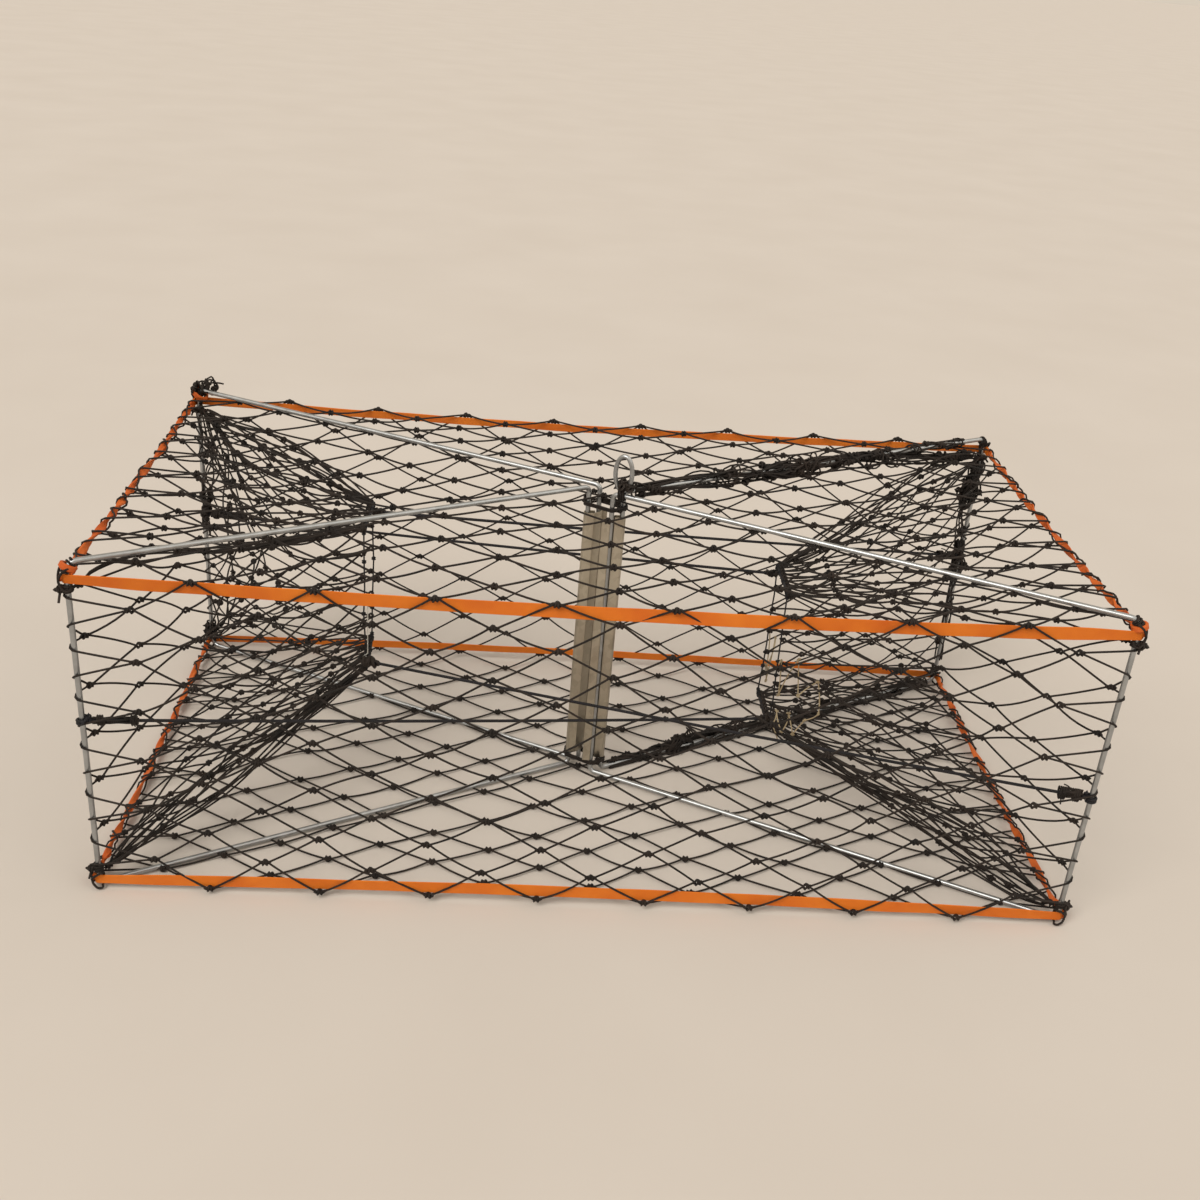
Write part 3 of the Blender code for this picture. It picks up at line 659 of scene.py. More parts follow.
# Funnels: the same netting carried on from the two ends inwards to a narrow throat. As many meshes
# go all the way down, so they close up there and their bars run nearly side by side.
THROATS = {"left": (-0.235, 0.130, 0.285), "right": (0.190, 0.085, 0.240)}
THROAT_Y = 0.035
PANELS = {  # the two corners that a panel lies between, as front and top, its rows and its sag
    "top": ((True, True), (False, True), 9, (0, 0, -0.014)),
    "bottom": ((True, False), (False, False), 9, (0, 0, -0.012)),
    "front": ((True, False), (True, True), 6, (0, 0.012, -0.008)),
    "back": ((False, False), (False, True), 6, (0, -0.012, -0.008)),
}


def funnel_corner(side, front, top):
    """A corner of the funnel's mouth and the same corner of its throat."""
    x, low, high = THROATS[side]
    out, y = math.copysign(1, x), -1 if front else 1
    mouth = np.array([out * MOUTH_X, y * MOUTH_Y, MOUTH_HIGH if top else MOUTH_LOW])
    return mouth, np.array([x, y * THROAT_Y, high if top else low])


def funnel_panel(side, face, u, v):
    """Places on a panel of a funnel; u runs from the mouth to the throat and v across the panel."""
    first, second, _, sag = PANELS[face]
    (mouth_a, throat_a), (mouth_b, throat_b) = (funnel_corner(side, *c) for c in (first, second))
    u, v = u[:, None], v[:, None]
    far = u * (0.9 + 0.1 * u)
    mouth = mouth_a * (1 - v) + mouth_b * v
    throat = throat_a * (1 - v) + throat_b * v
    return mouth * (1 - far) + throat * far + 16 * v * (1 - v) * far * (1 - far) * np.array(sag)


for side in THROATS:
    for face, (_, _, rows, _) in PANELS.items():
        parts = netting(3, rows, partial(funnel_panel, side, face), 0.016, 0.0045, size=0.98, held=0.0)
        web = build(f"{side}_funnel_{face}_netting", parts, black_nylon)
        on_cover(web, "black_netting", f"{side}_funnel_{face}")


# Funnel seams: along each corner of a funnel its panels are laced together. Where the most net is
# drawn up, its strands run side by side in a loose fan from the corner of the trap to the throat. At
# the back left upright more spare net is drawn up into the two corners, and fans out over the panel.
def wander(first, second, steps, reach, grain, seed):
    """A line between two places that wanders a little on the way, most of all near the first."""
    share = np.linspace(0, 1, steps)[:, None]
    line = first * (1 - share) + second * share
    line = line + drift(line + seed, reach, grain) * np.sin(share**0.7 * math.pi) ** 0.6
    line[:, 2] = np.maximum(line[:, 2], 0.0015)
    return line


FUNNEL_CORNERS = ((True, True), (True, False), (False, True), (False, False))
SEAM_STRANDS = {"left": (2, 9, 9, 2), "right": (0, 9, 8, 3)}
FAN_HEIGHTS = np.array([0.66, 0.30, 0.52, 0.12, 0.44, 0.26, 0.58, 0.08, 0.36, 0.20, 0.46])
for side, counts in SEAM_STRANDS.items():
    parts = []
    for (front, top), count in zip(FUNNEL_CORNERS, counts):
        mouth, throat = funnel_corner(side, front, top)
        strands = [wander(mouth, throat, 48, 0.034, 0.21, 3.1 * seed + 0.7) for seed in range(count)]
        if count:
            parts.append(tubes(strands, TWINE))
        for index in range(2 + count):
            strand = strands[index % count] if count else wander(mouth, throat, 48, 0.004, 0.21, 0.7)
            at = 4 + (index * 17 + 5 * count) % 40
            way = unit(strand[at + 1] - strand[at - 1] + drift(strand[at : at + 1], 0.006, 0.02)[0])
            over = unit(np.cross(way, [0.2 * math.sin(index), 0.5, 0.3]))
            parts.append(knots_at([strand[at]], [way], [over], 1.05))
    for top in (False, True) if side == "left" else ():
        heights = 1 - FAN_HEIGHTS if top else FAN_HEIGHTS
        ends = funnel_panel(side, "back", np.linspace(0.16, 0.56, len(heights)), heights)
        knot = funnel_corner(side, False, top)[0] + [0, 0, 0.009 - (0.012 if top else 0)]
        fan = [wander(knot, end, 24, 0.020, 0.07, end[0] * 90) for end in ends]
        parts.append(tubes(fan, TWINE))
        spots = np.concatenate([ends, [line[9 + index % 8] for index, line in enumerate(fan)]])
        ways = unit(spots - knot)
        parts.append(knots_at(spots, ways, unit(np.cross(ways, [0.2, 0.5, 0.3]))))
    on_cover(build(side + "_funnel_seam_lacing", parts, black_nylon), "black_netting")


# Throat rims: a loop of 3 mm braided cord round the inner end of each funnel, with the last meshes
# hitched on to it. The tension cords pull its two sides out long and thin, and so hold the throat open.
black_rope = laid_twine("braided_black_cord", "#151416", "#242226", 0.006, 0.0003)
RIMS = {"left": -0.2326, "right": 0.1876}  # 2.4 mm on from the last meshes, towards the post
RIM_BEND = 0.006
for side, (_, low, high) in THROATS.items():
    loop = []
    corners = ((-1, low), (1, low), (1, high), (-1, high))
    for corner, (y_side, z) in enumerate(corners):
        middle = (y_side * (THROAT_Y - RIM_BEND), z + (RIM_BEND if z == low else -RIM_BEND))
        for step in range(6):
            angle = math.pi + (corner + step / 5) * math.pi / 2
            bent = middle[0] + RIM_BEND * math.cos(angle), middle[1] + RIM_BEND * math.sin(angle)
            loop.append((RIMS[side], *bent))
        y_next, z_next = corners[(corner + 1) % 4]
        last, target = np.array(loop[-1]), np.array([RIMS[side], y_next * THROAT_Y, z_next])
        straight = (target - last) * (1 - RIM_BEND / max(np.linalg.norm(target - last), RIM_BEND))
        loop += [last + straight * share for share in (0.2, 0.4, 0.6, 0.8)]
    loop = np.array(loop)
    thickness = np.interp(abs(loop[:, 1]), (0.026, 0.0345), (0.0030, 0.0016))
    loop = loop + drift(loop, 0.0020, 0.04)
    ways = unit(np.roll(loop, -1, 0) - np.roll(loop, 1, 0))[::2]
    hitches = knots_at(loop[::2], ways, np.tile([[1.0, 0, 0]], (len(ways), 1)), 0.72)
    rim = build(side + "_throat_rim_cord", [tubes([loop], [thickness], 10, True), hitches], black_rope)
    on_cover(rim, "black_cord", side + "_throat_rim")


# Tension cords: four 3 mm black cords that hold the funnels open, each from a corner upright at one
# end of the trap to the throat at the other end. Each is tied round the upright with whipped turns.
CORD, TIE_CORD, CUT_END = 0.003, 0.0026, 0.0013
CORDS = {  # the tie's height; the throat, the height and the knot's size there; the whipping's length,
    # twine and count of strands, and where along it its bindings are
    "front_left": (0.1775, "right", 0.095, 1.6, (0.038, 0.0019, 5, (0.09, 0.82))),
    "front_right": (0.144, "left", 0.140, 2.0, (0.020, 0.0026, 8, (0.12, 0.74))),
    "back_left": (0.1775, "right", 0.230, 1.4, (0.044, 0.0024, 6, (0.08, 0.88))),
    "back_right": (0.1775, "left", 0.275, 1.4, (0.022, 0.0022, 6, (0.10, 0.80))),
}


def coil(wires, start, turns, thickness, steps=16, pitch=None, phase=0.0, loose=0.0):
    """Flat turns of cord round a bundle of round wires, each given as its centre and radius."""
    pitch = pitch or thickness * 1.05
    points = []
    for step in range(int(turns * steps) + 1):
        angle = math.tau * step / steps + phase
        out = np.array([math.cos(angle), math.sin(angle)])
        centre, radius = max(wires, key=lambda wire: np.dot(wire[0], out) + wire[1])
        slack = loose * noise.noise(Vector((step * 0.37, phase, start * 50)))
        reach = np.array(centre) + out * (radius + thickness / 2 + CLEAR + abs(slack))
        points.append((reach[0], reach[1], start + pitch * step / steps + slack * 0.6))
    return np.array(points)


def tail(end, way, long, drop, thickness):
    """A cut end of twine that stands off a knot and droops."""
    share = np.linspace(0, 1, 7)[:, None]
    line = np.array(end) + np.array(way) * long * share + np.array([0, 0, -drop]) * share**2
    return tubes([line], thickness)


def round_cord(first, ways, on, angle, hold):
    """Places round a tension cord: how far on from its first point, which way, and how far out."""
    on, angle, hold = (np.broadcast_to(value, np.shape(on))[:, None] for value in (on, angle, hold))
    along, over, up = ways
    middle = first + along * (0.0015 + on) - np.array([0, 0, 0.0123]) * on
    return middle + (over * np.cos(angle) + up * np.sin(angle)) * hold


for name, (tie_height, throat, height, knot_size, (long, thick, strands, bindings)) in CORDS.items():
    tied = np.array([*CORNERS[name], tie_height])
    held = np.array([RIMS[throat], math.copysign(THROAT_Y, tied[1]), height])
    along = (held - tied) / np.linalg.norm(held - tied)
    over = unit(np.cross(along, [0, 0, 1.0]))
    up = np.cross(over, along)
    first, last = tied + along * 0.00665, held - along * 0.002
    share = np.linspace(0, 1, 41)[:, None]
    route = first * (1 - share) + last * share - np.array([0, 0, 0.008]) * share * (1 - share)
    rope = build(name + "_tension_cord", [tubes([route], CORD, 10)], black_rope)

    around = partial(round_cord, first, (along, over, up))
    share = np.linspace(0, 1, 26)
    laid = []
    for strand in range(strands):
        on_cord = strand < 6  # six strands lie on the cord, and the others on them
        angle = math.tau * strand / min(strands, 6) + (0.0 if on_cord else 0.5)
        angle = angle + 1.1 * share + 0.22 * np.sin(share * 9 + strand * 2.3)
        hold = CORD / 2 + thick * (0.5 if on_cord else 1.35)
        hold = hold * (1 + 0.05 * np.sin(share * 14 + strand * 1.9))
        laid.append(around(long * share * (1 - 0.07 * (strand * 2 % 3)), angle, hold))
    parts = [tubes(laid, thick, 7)]
    turns = np.arange(3 * 12 + 3) / 12
    hold = CORD / 2 + thick * (1.0 if strands < 7 else 1.25) + 0.0007
    for binding in bindings:
        parts.append(tubes([around(long * binding + turns * 0.0019, turns * math.tau, hold)], TWINE))
    for end in range(4):
        root = first + along * long * (0.55 + 0.15 * end) + up * (CORD / 2 + thick)
        way = along * (0.9 - 0.3 * end) + up * (0.7 - 0.4 * end) + over * (0.7 * (-1) ** end)
        parts.append(tail(root, way, 0.008 + 0.002 * end, 0.004, CUT_END))
    parts.append(knots_at([last, last - along * 0.005], [along, along], [[0, 0, 1], [0, 1, 0]], knot_size))
    whipping = build(name + "_cord_whipping", parts, black_nylon)
    on_cover(whipping, "black_cord")
    on_cover(rope, "black_cord", name + "_cord")

    phase = math.atan2(along[1], along[0])
    wound = coil([(tied[:2], WIRE / 2)], tie_height - 0.0036, 2.3, TIE_CORD, phase=phase, loose=0.0008)
    centres = np.array([tied + along * 0.0062, tied + along * 0.0052 + [0, 0, 0.003]])
    parts = [tubes([wound], TIE_CORD, 8), knots_at(centres, [over, up], [along, along], 0.85)]
    parts.append(tail(centres[1], over * 0.6 - along * 0.5, 0.011, 0.004, 0.0024))
    tie = build(name + "_upright_tie", parts, black_rope)
    fitted(tie, "arm_" + name, "black_cord", name + "_cord_tie")


# Tapes: 12 mm orange polypropylene webbing, woven flat and 1 mm thick, pulled tight round the corner
# uprights at the top and the bottom. The net has creased the back runs narrower, and the short end
# runs are folded double and twisted like a rope.
def woven_webbing(name, dark, light):
    """Flat woven tape: ribs across it every 1.6 mm, ten warp threads along it, and worn patches."""
    made, tree, shader, place = material(name, {"Roughness": 0.6, "Specular IOR Level": 0.35})
    run = add(tree, "UVMap", {"uv_map": "run"}).outputs["UV"]
    woven = add(tree, "SeparateXYZ", links={"Vector": run}).outputs
    waves = []
    for axis, factor in (("X", math.tau / 0.0016), ("Y", math.tau * 10)):
        turns = add(tree, "Math", {"operation": "MULTIPLY", 1: factor}, {0: woven[axis]})
        waves.append(add(tree, "Math", {"operation": "SINE"}, {0: turns.outputs[0]}).outputs[0])
    weave = add(tree, "Math", {"operation": "MULTIPLY"}, dict(enumerate(waves))).outputs[0]
    worn = add(tree, "TexNoise", {"Scale": 28.0, "Detail": 5.0}, {"Vector": place}).outputs["Fac"]  # 36 mm
    thread_range = {"From Min": -1.0, "To Min": -0.16, "To Max": 0.16}
    thread = add(tree, "MapRange", thread_range, {"Value": weave}).outputs[0]
    tint = add(tree, "Math", {"operation": "ADD"}, {0: worn, 1: thread}).outputs[0]
    colours = {"data_type": "RGBA", DARK: linear(dark), LIGHT: linear(light)}
    feed(tree, shader, {
        "Base Color": add(tree, "Mix", colours, {0: tint}).outputs[2],
        "Normal": add(tree, "Bump", {"Strength": 0.7, "Distance": 0.0003}, {"Height": weave}).outputs[0],
    })
    return made


orange_webbing = woven_webbing("woven_orange_webbing", "#D15806", "#F98F22")
# A darker, redder copy of the same webbing: painted shade, for the folded end runs and the tape loops.
shaded_webbing = woven_webbing("shaded_orange_webbing", "#C0490F", "#EC7C30")
TAPE_WIDE, TAPE_THICK = 0.012, 0.001
FLAT = (
    (-0.5, -0.2), (-0.465, -0.5), (0.465, -0.5), (0.5, -0.2),
    (0.5, 0.2), (0.465, 0.5), (-0.465, 0.5), (-0.5, 0.2),
)
FOLDED = (
    (-0.30, -1.15), (0.22, -1.2), (0.30, -0.6), (0.30, 0.6), (0.22, 1.2), (-0.17, 1.15),
    (-0.17, 0.15), (0.18, 0.18), (0.20, 0.0), (0.18, -0.18), (-0.30, -0.15),
)


def webbing(line, wide_way, section, narrowed=1.0):
    """A woven tape along a line of points, with its width along wide_way at each point."""
    line, wide_way = np.array(line, float), unit(np.array(wide_way, float))
    ahead = unit(np.gradient(line, axis=0))
    wide_way = unit(wide_way - ahead * (wide_way * ahead).sum(1, keepdims=True))
    flat_way = np.cross(ahead, wide_way)
    narrowed = np.broadcast_to(narrowed, len(line))[:, None]
    points = np.stack([
        line + wide_way * w * TAPE_WIDE * narrowed + flat_way * t * TAPE_THICK / narrowed for w, t in section
    ], 1)
    across = np.array([w + 0.5 for w, _ in section])
    return skin(points[None], distances(line)[None], across, np.roll(across, -1))


def stretched_tape(level, face, line, wide_way, section, finish, narrowed=1.0):
    """One run of tape, pulled tight between the two arms at its ends."""
    band = build(f"{level}_{face}_webbing", [webbing(line, wide_way, section, narrowed)], finish, 30)
    on_cover(band, "orange_webbing", f"{level}_tape_{face}")


turn = 0.0028 + TAPE_THICK / 2  # the tape's inner face clears the upright's wire by 0.3 mm
for level, height, inward in (("top", TAPE_HIGH, -1), ("bottom", TAPE_LOW, 1)):
    for face, y, widest in (("front", -1, 1.0), ("back", 1, 0.72)):
        start = [(-REACH_X - turn, y * (REACH_Y - 0.010), height)]
        for step in range(7):
            bend = math.pi / 2 * step / 6
            start.append((-REACH_X - turn * math.cos(bend), y * (REACH_Y + turn * math.sin(bend)), height))
        line = list(start)
        for step in range(1, 80):
            x = (step / 40 - 1) * REACH_X
            wobble = noise.noise(Vector((x * 16, y, height * 9))) * 0.0008
            line.append((x, y * (REACH_Y + turn), height + inward * tape_bow(x) + wobble))
        line = np.array(line + [(-x, out, z) for x, out, z in reversed(start)])
        leans = [0.25 * noise.noise(Vector((x * 7, y * 3.0, height * 5))) for x in line[:, 0]]
        gathered = np.minimum(0.72 + 0.28 * rise((REACH_X - abs(line[:, 0])) / 0.06), widest)
        wide = [(0, math.sin(lean), math.cos(lean)) for lean in leans]
        stretched_tape(level, face, line, wide, FLAT, orange_webbing, gathered)
    for face, out in (("left", -1), ("right", 1)):
        line, lean = end_tape(np.linspace(-1, 1, 97), out, height)
        wide = np.stack([np.sin(lean), 0 * lean, np.cos(lean)], 1)
        # The end runs take the darker copy of the webbing, which is painted shade.
        stretched_tape(level, face, line, wide, FOLDED, shaded_webbing)


# Corner lashings: the same black twine round each corner upright, where it holds the tapes. A few
# tight turns lie under the tape and two cross over it, and a knot ends in two cut tails.
LASHING = 0.0022


def over_bend(name, low, high, turns, stand_off, phase):
    """Turns wound round the wire where it bends over at its outer top corner."""
    steps = np.linspace(0, 1, int(turns * 16))
    bend, turn = np.radians(low + (high - low) * steps), math.tau * turns * steps + phase
    hold = WIRE / 2 + stand_off + CLEAR
    out = OUTER_BEND + hold * np.cos(turn)
    far = (CORNERS[name] - PINS[name]).length - OUTER_BEND + out * np.cos(bend)
    up = BAR_HIGH - OUTER_BEND + out * np.sin(bend)
    return np.array(on_arm(name, zip(far, hold * np.sin(turn), up)))


for name, corner in CORNERS.items():
    outward = math.atan2(corner.y, corner.x)
    for level, middle, start, reach in (
        ("top", TAPE_HIGH, 0.3012, 0.0102), ("bottom", TAPE_LOW, 0.0182, 0.0080),
    ):
        seed = outward + middle * 40
        wound = coil([(corner, WIRE / 2)], start, 2.3, LASHING, 14, phase=seed, loose=0.0010)
        parts = [tubes([wound], LASHING)]
        for way in (1, -1):
            turn = []
            for step in range(28):
                angle = math.tau * step / 28
                hold = 0.0066 if math.cos(angle) > -0.35 else 0.0041
                hold += 0.0007 * noise.noise(Vector((step * 0.5, way, seed)))
                lean = way * reach * math.sin(angle + 0.25 * way * math.sin(seed * 3))
                turn.append((
                    corner.x + hold * math.cos(angle + outward),
                    corner.y + hold * math.sin(angle + outward),
                    max(middle + lean, 0.0013),
                ))
            parts.append(tubes([turn], LASHING, closed=True))
        knot_at = outward + 0.7 * math.sin(seed)
        out = np.array([math.cos(knot_at), math.sin(knot_at), 0])
        across = np.array([-out[1], out[0], 0])
        knot = np.array([*corner, start + 0.0028]) + out * 0.0052
        parts.append(knots_at([knot, knot + across * 0.003], [across, out], [out, across], 1.1))
        for side in (1, -1):
            way = across * side * 0.8 + out * 0.1 + np.array([0, 0, 0.5 * math.sin(seed + side)])
            parts.append(tail(knot, way, 0.009 + 0.003 * math.sin(seed * 2 + side), 0.003, LASHING))
        if level == "top":
            parts.append(tubes([over_bend(name, 5, 68, 4.5, LASHING / 2, seed)], LASHING))
        lashing = build(f"{name}_{level}_corner_twine", parts, black_nylon)
        fitted(lashing, "arm_" + name, "black_twine", f"{name}_{level}_lashing")


# Tape loops: at three of the top corners the tape's spare end is folded and hung over the wire's bend.
# Each goes round the wire a little more than once, between two angles of the bend.
TAPE_LOOPS = {  # the two angles, and how far the tape stands off the wire
    "front_left": (22, 40, 0.0032), "front_right": (10, 26, 0.0032), "back_left": (20, 52, 0.0060),
}
for name, (low, high, stand_off) in TAPE_LOOPS.items():
    line = over_bend(name, low, high, 1.2, stand_off, 2.0)
    bend = np.radians(np.linspace(low, high, len(line)))
    wide = np.array(on_arm(name, zip(-np.sin(bend), 0 * bend, np.cos(bend)))) - on_arm(name, [(0, 0, 0)])
    # The loop takes the darker copy of the webbing, which is painted shade.
    hung = build(name + "_tape_loop", [webbing(line, wide, FOLDED, 0.8)], shaded_webbing, 30)
    fitted(hung, "arm_" + name, "orange_webbing")


# Post lashings: black twine round all four uprights, above and below the clasps. It keeps the two
# clasps from sliding apart while the trap is open, and it is slackened to fold it.
UPRIGHTS = [(np.array(pin), WIRE / 2) for pin in PINS.values()]
up = np.array([0, 0, 1.0])
for level, start in (("top", 0.3082), ("bottom", 0.0135)):
    turns = coil(UPRIGHTS, start, 2.2, LASHING, 40, phase=0.6, loose=0.0006)
    back = coil(UPRIGHTS, start + 0.0048, 1.0, LASHING, 40, pitch=-0.0048, phase=2.2, loose=0.0010)
    parts = [tubes([turns], LASHING), tubes([back], LASHING)]
    for place, way in (((0.0135, -0.0118), (0.9, 0.5)), ((-0.0190, 0.0105), (1, 0.8))):
        along = unit(np.array([*way, 0.0]))
        across = np.array([-along[1], along[0], 0])
        knot = np.array([*place, start + 0.0024])
        parts.append(knots_at([knot, knot + up * 0.002], [along, up], [across, along]))
        parts.append(tail(knot, along * 0.7 + up * 0.5, 0.010, 0.006, LASHING))
    on_cover(build(f"post_{level}_twine", parts, black_nylon), "black_twine", f"post_{level}_lashing")


# Ring tie: black twine wound round the front right arm's top wire and the foot of the ring. The ring
# swings over from side to side in it. The ends are knotted into a lump on the foot of the ring.
bar_and_foot = [(np.array([0, BAR_HIGH]), WIRE / 2), (np.array([0, ring_foot.z]), RING_WIRE / 2)]
wound = []
for start, turns, phase in ((0.0058, 2.9, 0.4), (0.0068, 1.6, 3.0)):
    flat = coil(bar_and_foot, start, turns, LASHING, 22, phase=phase, loose=0.0006)
    wound.append(tubes([on_arm("front_right", [(along, beside, up) for beside, up, along in flat])], LASHING))
fitted(build("ring_tie_twine", wound, black_nylon), "arm_front_right", "black_twine", "ring_tie")
lump = np.array(on_arm("front_right", [
    (0.0150, 0.0036, 0.3352), (0.0165, -0.0020, 0.3378), (0.0105, -0.0036, 0.3380),
    (0.0092, 0.0010, 0.3408), (0.0045, 0.0032, 0.3362), (0.0140, 0.0044, 0.3392),
]))
ways = unit(np.array([
    [0.9, 0.3, 0.3], [-0.4, 1.0, 0.5], [0.9, 0.6, -0.3], [-0.3, 1.0, -0.5], [1.0, 0.3, 0.6], [0.6, -0.8, 0.4],
]))
leans = [[0, 1.0, 0], [1.0, 0, 0], [0, 0.2, 1.0], [1.0, 0, 0.3], [0, 1.0, 0.2], [0.3, 0, 1.0]]
knotted = [
    knots_at(lump, ways, unit(np.cross(ways, leans)), 1.35),
    tail(lump[1], (0.5, 0.8, 0.5), 0.012, 0.004, LASHING),
    tail(lump[3], (0.3, -0.8, 0.4), 0.011, 0.005, LASHING),
]
fitted(build("ring_knot_twine", knotted, black_nylon), "ring", "black_twine")


# Seam lacings: the edges of the top and bottom nets are gathered along the back right arm and laced
# to its wires with twine, which makes a thick dark band from the post that thins out to the corner. At
# the top the band comes away from the wire half way, and a thinner lacing follows the wire.
def gathered_net(place_at, long, spread, strands, turns, knots, seed):
    """Strands of net drawn up round a wire, with twine wound over them here and there. The spread is
    pairs of a share of the length and how far the strands stand off there, and
    place_at(along, beside, above) gives places on the wire's own ways."""
    width = partial(np.interp, xp=[at for at, _ in spread], fp=[out for _, out in spread])
    share = np.linspace(0, 1, int(long / 0.004))
    lines = []
    for index in range(strands):
        angle = index * 2.4 + seed + 1.2 * np.sin(share * (7 + index % 3 * 4) + index * 1.7)
        out = np.maximum(width(share) * (0.5 + 0.5 * (index * 0.618 % 1)), 0.0037)
        lines.append(place_at(share * long, out * np.cos(angle), out * np.sin(angle)))
    round_it = np.arange(int(turns * 14)) / 14
    on = np.clip((round_it + 1.3 * np.sin(round_it * 1.7 + seed)) / turns, 0, 1)
    out = width(on) + 0.0012
    wound = place_at(on * long, out * np.cos(round_it * math.tau), out * np.sin(round_it * math.tau))
    spots = (np.arange(knots) * 37 + 5) % (len(share) - 2) + 1
    chosen = np.arange(knots) % strands
    lines = np.array(lines)
    centres = lines[chosen, spots]
    ways = unit(unit(lines[chosen, spots + 1] - lines[chosen, spots - 1]) + drift(centres, 0.7, 0.011))
    over = unit(np.cross(ways, drift(centres + 3.0, 1.0, 0.013) + 0.02))
    return [tubes(lines, TWINE), tubes([wound], TWINE), knots_at(centres, ways, over, 1.25)]


def clump(place_at, on, long, thick, strands, seed):
    """A tangled lump of twine: strands that swell out and wind about each other, with their knots."""
    share = np.linspace(0, 1, 22)
    lines = []
    for index in range(strands):
        spread = 0.3 + 0.7 * ((index * 0.618 + 0.2) % 1)
        out = thick / 2 * spread * np.sin(share * math.pi) ** 0.5 + 0.0030
        angle = index * 2.4 + seed + (1.5 + index % 4) * share * (-1) ** index
        lines.append(place_at(on + long * (share - 0.5), out * np.cos(angle), out * np.sin(angle)))
    centres = np.array([line[5 + 3 * (index % 5)] for index, line in enumerate(lines)])
    ways = unit(drift(centres, 1.0, 0.009) + 0.01)
    over = unit(np.cross(ways, drift(centres + 5.0, 1.0, 0.012) + 0.02))
    return [tubes(lines, LASHING), knots_at(centres, ways, over, 1.15)]


def beside_bar(start, height, hang, along, beside, above):
    """Places on the back right arm from a start, beside its bar and above it; the net may hang."""
    at = start + along
    lifted = np.maximum(height + above - hang * rise((at - 0.232) / 0.24), 0.0013)
    room = 0.002 + 0.036 * at  # the front right arm folds up close beside this one
    return np.array(on_arm("back_right", list(zip(at, np.maximum(beside, -room), lifted))))


TOP_SPREAD = ((0, 0.0068), (0.12, 0.0082), (0.25, 0.0098), (0.5, 0.0115), (0.75, 0.0075), (1, 0.0040))
LOW_SPREAD = ((0, 0.0046), (0.12, 0.0062), (0.25, 0.0118), (0.5, 0.0125), (0.75, 0.0095), (1, 0.0060))
for level, height, hang, spread, lump in (
    ("top", BAR_HIGH, 0.017, TOP_SPREAD, (0.200, 0.080, 0.015, 9)),
    ("bottom", BAR_LOW, 0.0, LOW_SPREAD, (0.092, 0.036, 0.022, 18)),
):
    drawn_up = partial(beside_bar, 0.012, height, hang)
    parts = gathered_net(drawn_up, 0.463, spread, 15, 16, 28, height * 9)
    parts += clump(drawn_up, *lump, height * 5)
    if level == "top":
        laced = partial(beside_bar, 0.245, height, 0.0)
        parts += gathered_net(laced, 0.212, ((0, 0.0042), (1, 0.0038)), 6, 13, 9, 1.3)
    else:
        for spike in range(5):
            root = on_arm("back_right", [(0.108 + 0.004 * spike, 0.002, 0.016)])[0]
            long = 0.012 + 0.003 * (spike % 2)
            parts.append(tail(root, (0.5 - 0.3 * spike, -0.3, 0.9), long, 0.003, TWINE))
    seam = build(f"{level}_seam_twine", parts, black_nylon)
    fitted(seam, "arm_back_right", "black_twine", level + "_seam_lacing")


# Gathered corners: the spare meshes at the back are bunched along the two back uprights. On the right
# one they make two thick lumps below the corner. On the left one they hang in a loose bunch below the
# top corner, and a knot draws them into the bottom one.
def beside_upright(corner, low, bulge_at, bulge, along, beside, above):
    """Places up a corner upright from its low end, beside it and in from it, with a bulge inwards."""
    inward = unit(-np.array(corner))
    aside = np.array([-inward[1], inward[0]])
    stands = bulge * np.exp(-(((along - bulge_at) / 0.035) ** 2)) + 0.001
    flat = np.array(corner) + aside * beside[:, None] + inward * (above + stands)[:, None]
    return np.concatenate([flat, (low + along)[:, None]], 1)


RIGHT_SPREAD = ((0, 0.0067), (0.35, 0.0029), (0.65, 0.0061), (1, 0.0035))
LEFT_SPREAD = ((0, 0.0040), (0.35, 0.0080), (0.65, 0.0110), (1, 0.0050))
RIGHT_LUMPS = ((0.236, 0.060, 0.020, 18), (0.139, 0.050, 0.013, 11))
LEFT_LUMPS = ((-0.122, 0.018, 0.011, 6),)
for name, low, bulge, spread, net, lumps in (
    ("back_right", 0.035, (0.205, 0.011), RIGHT_SPREAD, (3, 3, 5), RIGHT_LUMPS),
    ("back_left", 0.150, (0.085, 0.009), LEFT_SPREAD, (4, 2, 9), LEFT_LUMPS),
):
    bunched = partial(beside_upright, CORNERS[name], low, *bulge)
    parts = gathered_net(bunched, 0.302 - low, spread, *net, low * 50)
    for lump in lumps:
        parts += clump(bunched, *lump, low * 70)
    fitted(build(name + "_gathered_meshes", parts, black_nylon), "arm_" + name, "black_netting")


# Corner tangle: at the top of the back left corner the ends of the net's lacing are left in a loose
# knotted tangle round the bend of the wire.
parts = []
middle = np.array([-0.4410, 0.2280, 0.3310])
for loop in range(6):
    tilt = unit(np.array([math.sin(loop * 2.4), math.cos(loop * 1.9), 0.4 * math.sin(loop * 3.1)]))
    first = unit(np.cross(tilt, [0.3, 0.2, 1.0]))
    second = np.cross(tilt, first)
    away = (0.0090 * math.sin(loop * 1.9 + 0.6), 0.004 * math.cos(loop * 2.7), 0.0040 * math.sin(loop * 2.2))
    turn = []
    for step in range(26):
        angle = math.tau * step / 26
        out = 0.0078 + 0.0022 * math.sin(loop * 1.3)
        out += 0.0045 * noise.noise(Vector((math.cos(angle), math.sin(angle), loop * 1.7)))
        turn.append(middle + away + (first * math.cos(angle) + second * math.sin(angle)) * out)
    parts.append(tubes([turn], TWINE, closed=True))
centres = middle + drift(middle + np.arange(7)[:, None] * 0.7, 0.018, 0.3)
ways = unit(drift(centres + 1.0, 1.0, 0.01) + 0.01)
parts.append(knots_at(centres, ways, unit(np.cross(ways, [0.1, 0.3, 1.0])), 1.2))
parts.append(tail(middle + [0, 0, 0.004], (0.9, 0.1, 0.3), 0.022, 0.006, TWINE))
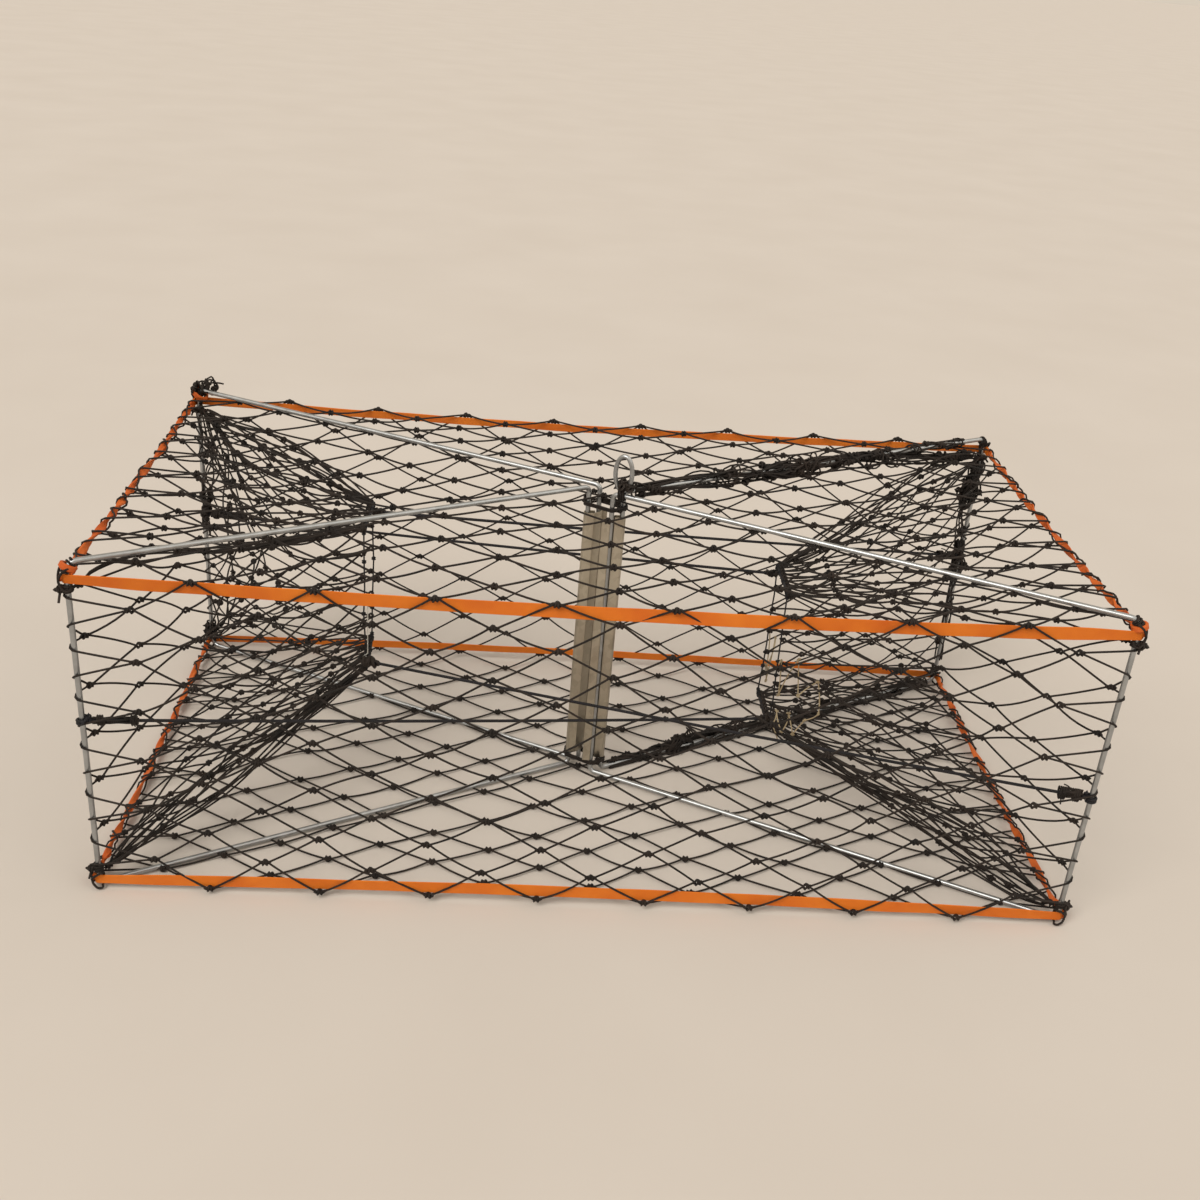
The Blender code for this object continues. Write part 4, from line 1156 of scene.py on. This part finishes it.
fitted(build("back_left_corner_tangle", parts, black_nylon), "arm_back_left", "black_netting")


# Throat lacing: cream twine sewn up and down over the right funnel's front and back panels, close to
# the throat. It draws the meshes together there, so that a crab can't get back out.
cream_twine = laid_twine("cream_cotton_twine", "#9A8565", "#CFBE9B", 0.004, 0.0002)
CREAM_TWINE = 0.0013
FRONT_STITCHES = (
    (0.998, 0.52), (0.991, 0.27), (0.942, 0.58), (0.926, 0.33), (0.868, 0.48), (0.850, 0.28), (0.893, 0.19),
    (0.925, 0.05), (0.948, 0.18), (0.962, 0.02), (0.988, 0.15), (0.997, 0.03),
)
BACK_STITCHES = ((0.998, 0.50), (0.988, 0.20), (0.968, 0.43), (0.982, 0.09), (0.997, 0.22))
for face, out, stitches, nodes in (
    ("front", -1.0, FRONT_STITCHES, ["throat_lacing"]), ("back", 1.0, BACK_STITCHES, []),
):
    zigzag = funnel_panel("right", face, *np.array(stitches).T) + np.array([0, 0.0026 * out, 0])
    sewn = []
    for first, second in zip(zigzag, zigzag[1:]):
        share = np.linspace(0.03, 0.97, 9)[:, None]
        loose = drift(first[None] * 3, 0.004, 0.02) * share * (1 - share) * 4
        sewn += list(first * (1 - share) + second * share + loose)
    over = np.tile([[0, out, 0]], (len(zigzag), 1))
    ways = unit(np.gradient(zigzag, axis=0) + [0, 0, 0.001])
    ways = unit(ways - over * (ways * over).sum(1, keepdims=True))
    parts = [
        tubes([sewn], CREAM_TWINE),
        knots_at(zigzag, ways, over, 0.5),
        tail(zigzag[-1], (0.5, 0.5 * out, -0.6), 0.014, 0.006, CREAM_TWINE),
        tail(zigzag[0], (-0.3, 0.6 * out, 0.5), 0.014, 0.006, CREAM_TWINE),
    ]
    on_cover(build(f"throat_{face}_zigzag_twine", parts, cream_twine), "cream_lacing", *nodes)


# Throat line: a length of clear 1 mm nylon line down the front edge of the left throat. It is tied
# to the rim cord at both ends, and the light catches it.
clear_nylon, tree, shader, place = material("clear_nylon_line", {"Transmission Weight": 0.55, "IOR": 1.53})
haze = add(tree, "TexNoise", {"Scale": 260.0, "Detail": 2.0}, {"Vector": place}).outputs["Fac"]  # 4 mm
colours = {"data_type": "RGBA", DARK: linear("#D9D6CC"), LIGHT: linear("#F1EFE8")}
feed(tree, shader, {
    "Base Color": add(tree, "Mix", colours, {0: haze}).outputs[2],
    "Roughness": add(tree, "MapRange", {"To Min": 0.08, "To Max": 0.3}, {"Value": haze}).outputs[0],
})
step = np.arange(61)
share = step / 60
tied = np.minimum(share, 1 - share) * 12 < 1
turn = np.where(tied, math.tau * share * 26, 0)
out = np.where(tied, 0.0021, 0.0004)
line = np.stack([
    -0.2303 + out * np.cos(turn) - np.where(tied, 0.0023, 0),
    -THROAT_Y + out * np.sin(turn),
    0.1435 + 0.066 * share + 0.0003 * np.sin(step),
], 1)
on_cover(build("throat_clear_line", [tubes([line], 0.001)], clear_nylon), "clear_nylon", "throat_line")


# Mouth lacing: black twine wound round the four short end tapes, tight and uneven. It draws the outer
# meshes of the funnels and of the main net together over the tape.
MOUTH_TURNS, LACED = 7, 0.95  # how often it goes round, and out to what share of the tape
for side, out in (("left", -1), ("right", 1)):
    parts = []
    for height in (TAPE_HIGH, TAPE_LOW):
        share = np.linspace(-LACED, LACED, MOUTH_TURNS * 20)
        angle = math.tau * MOUTH_TURNS * share / (2 * LACED)
        angle = angle + 2.1 * np.sin(share * 8 + out + height * 30)
        parts.append(tubes([hug_tape(share, out, height, angle)], TWINE))
    on_cover(build(side + "_mouth_lacing", parts, black_nylon), "black_netting")
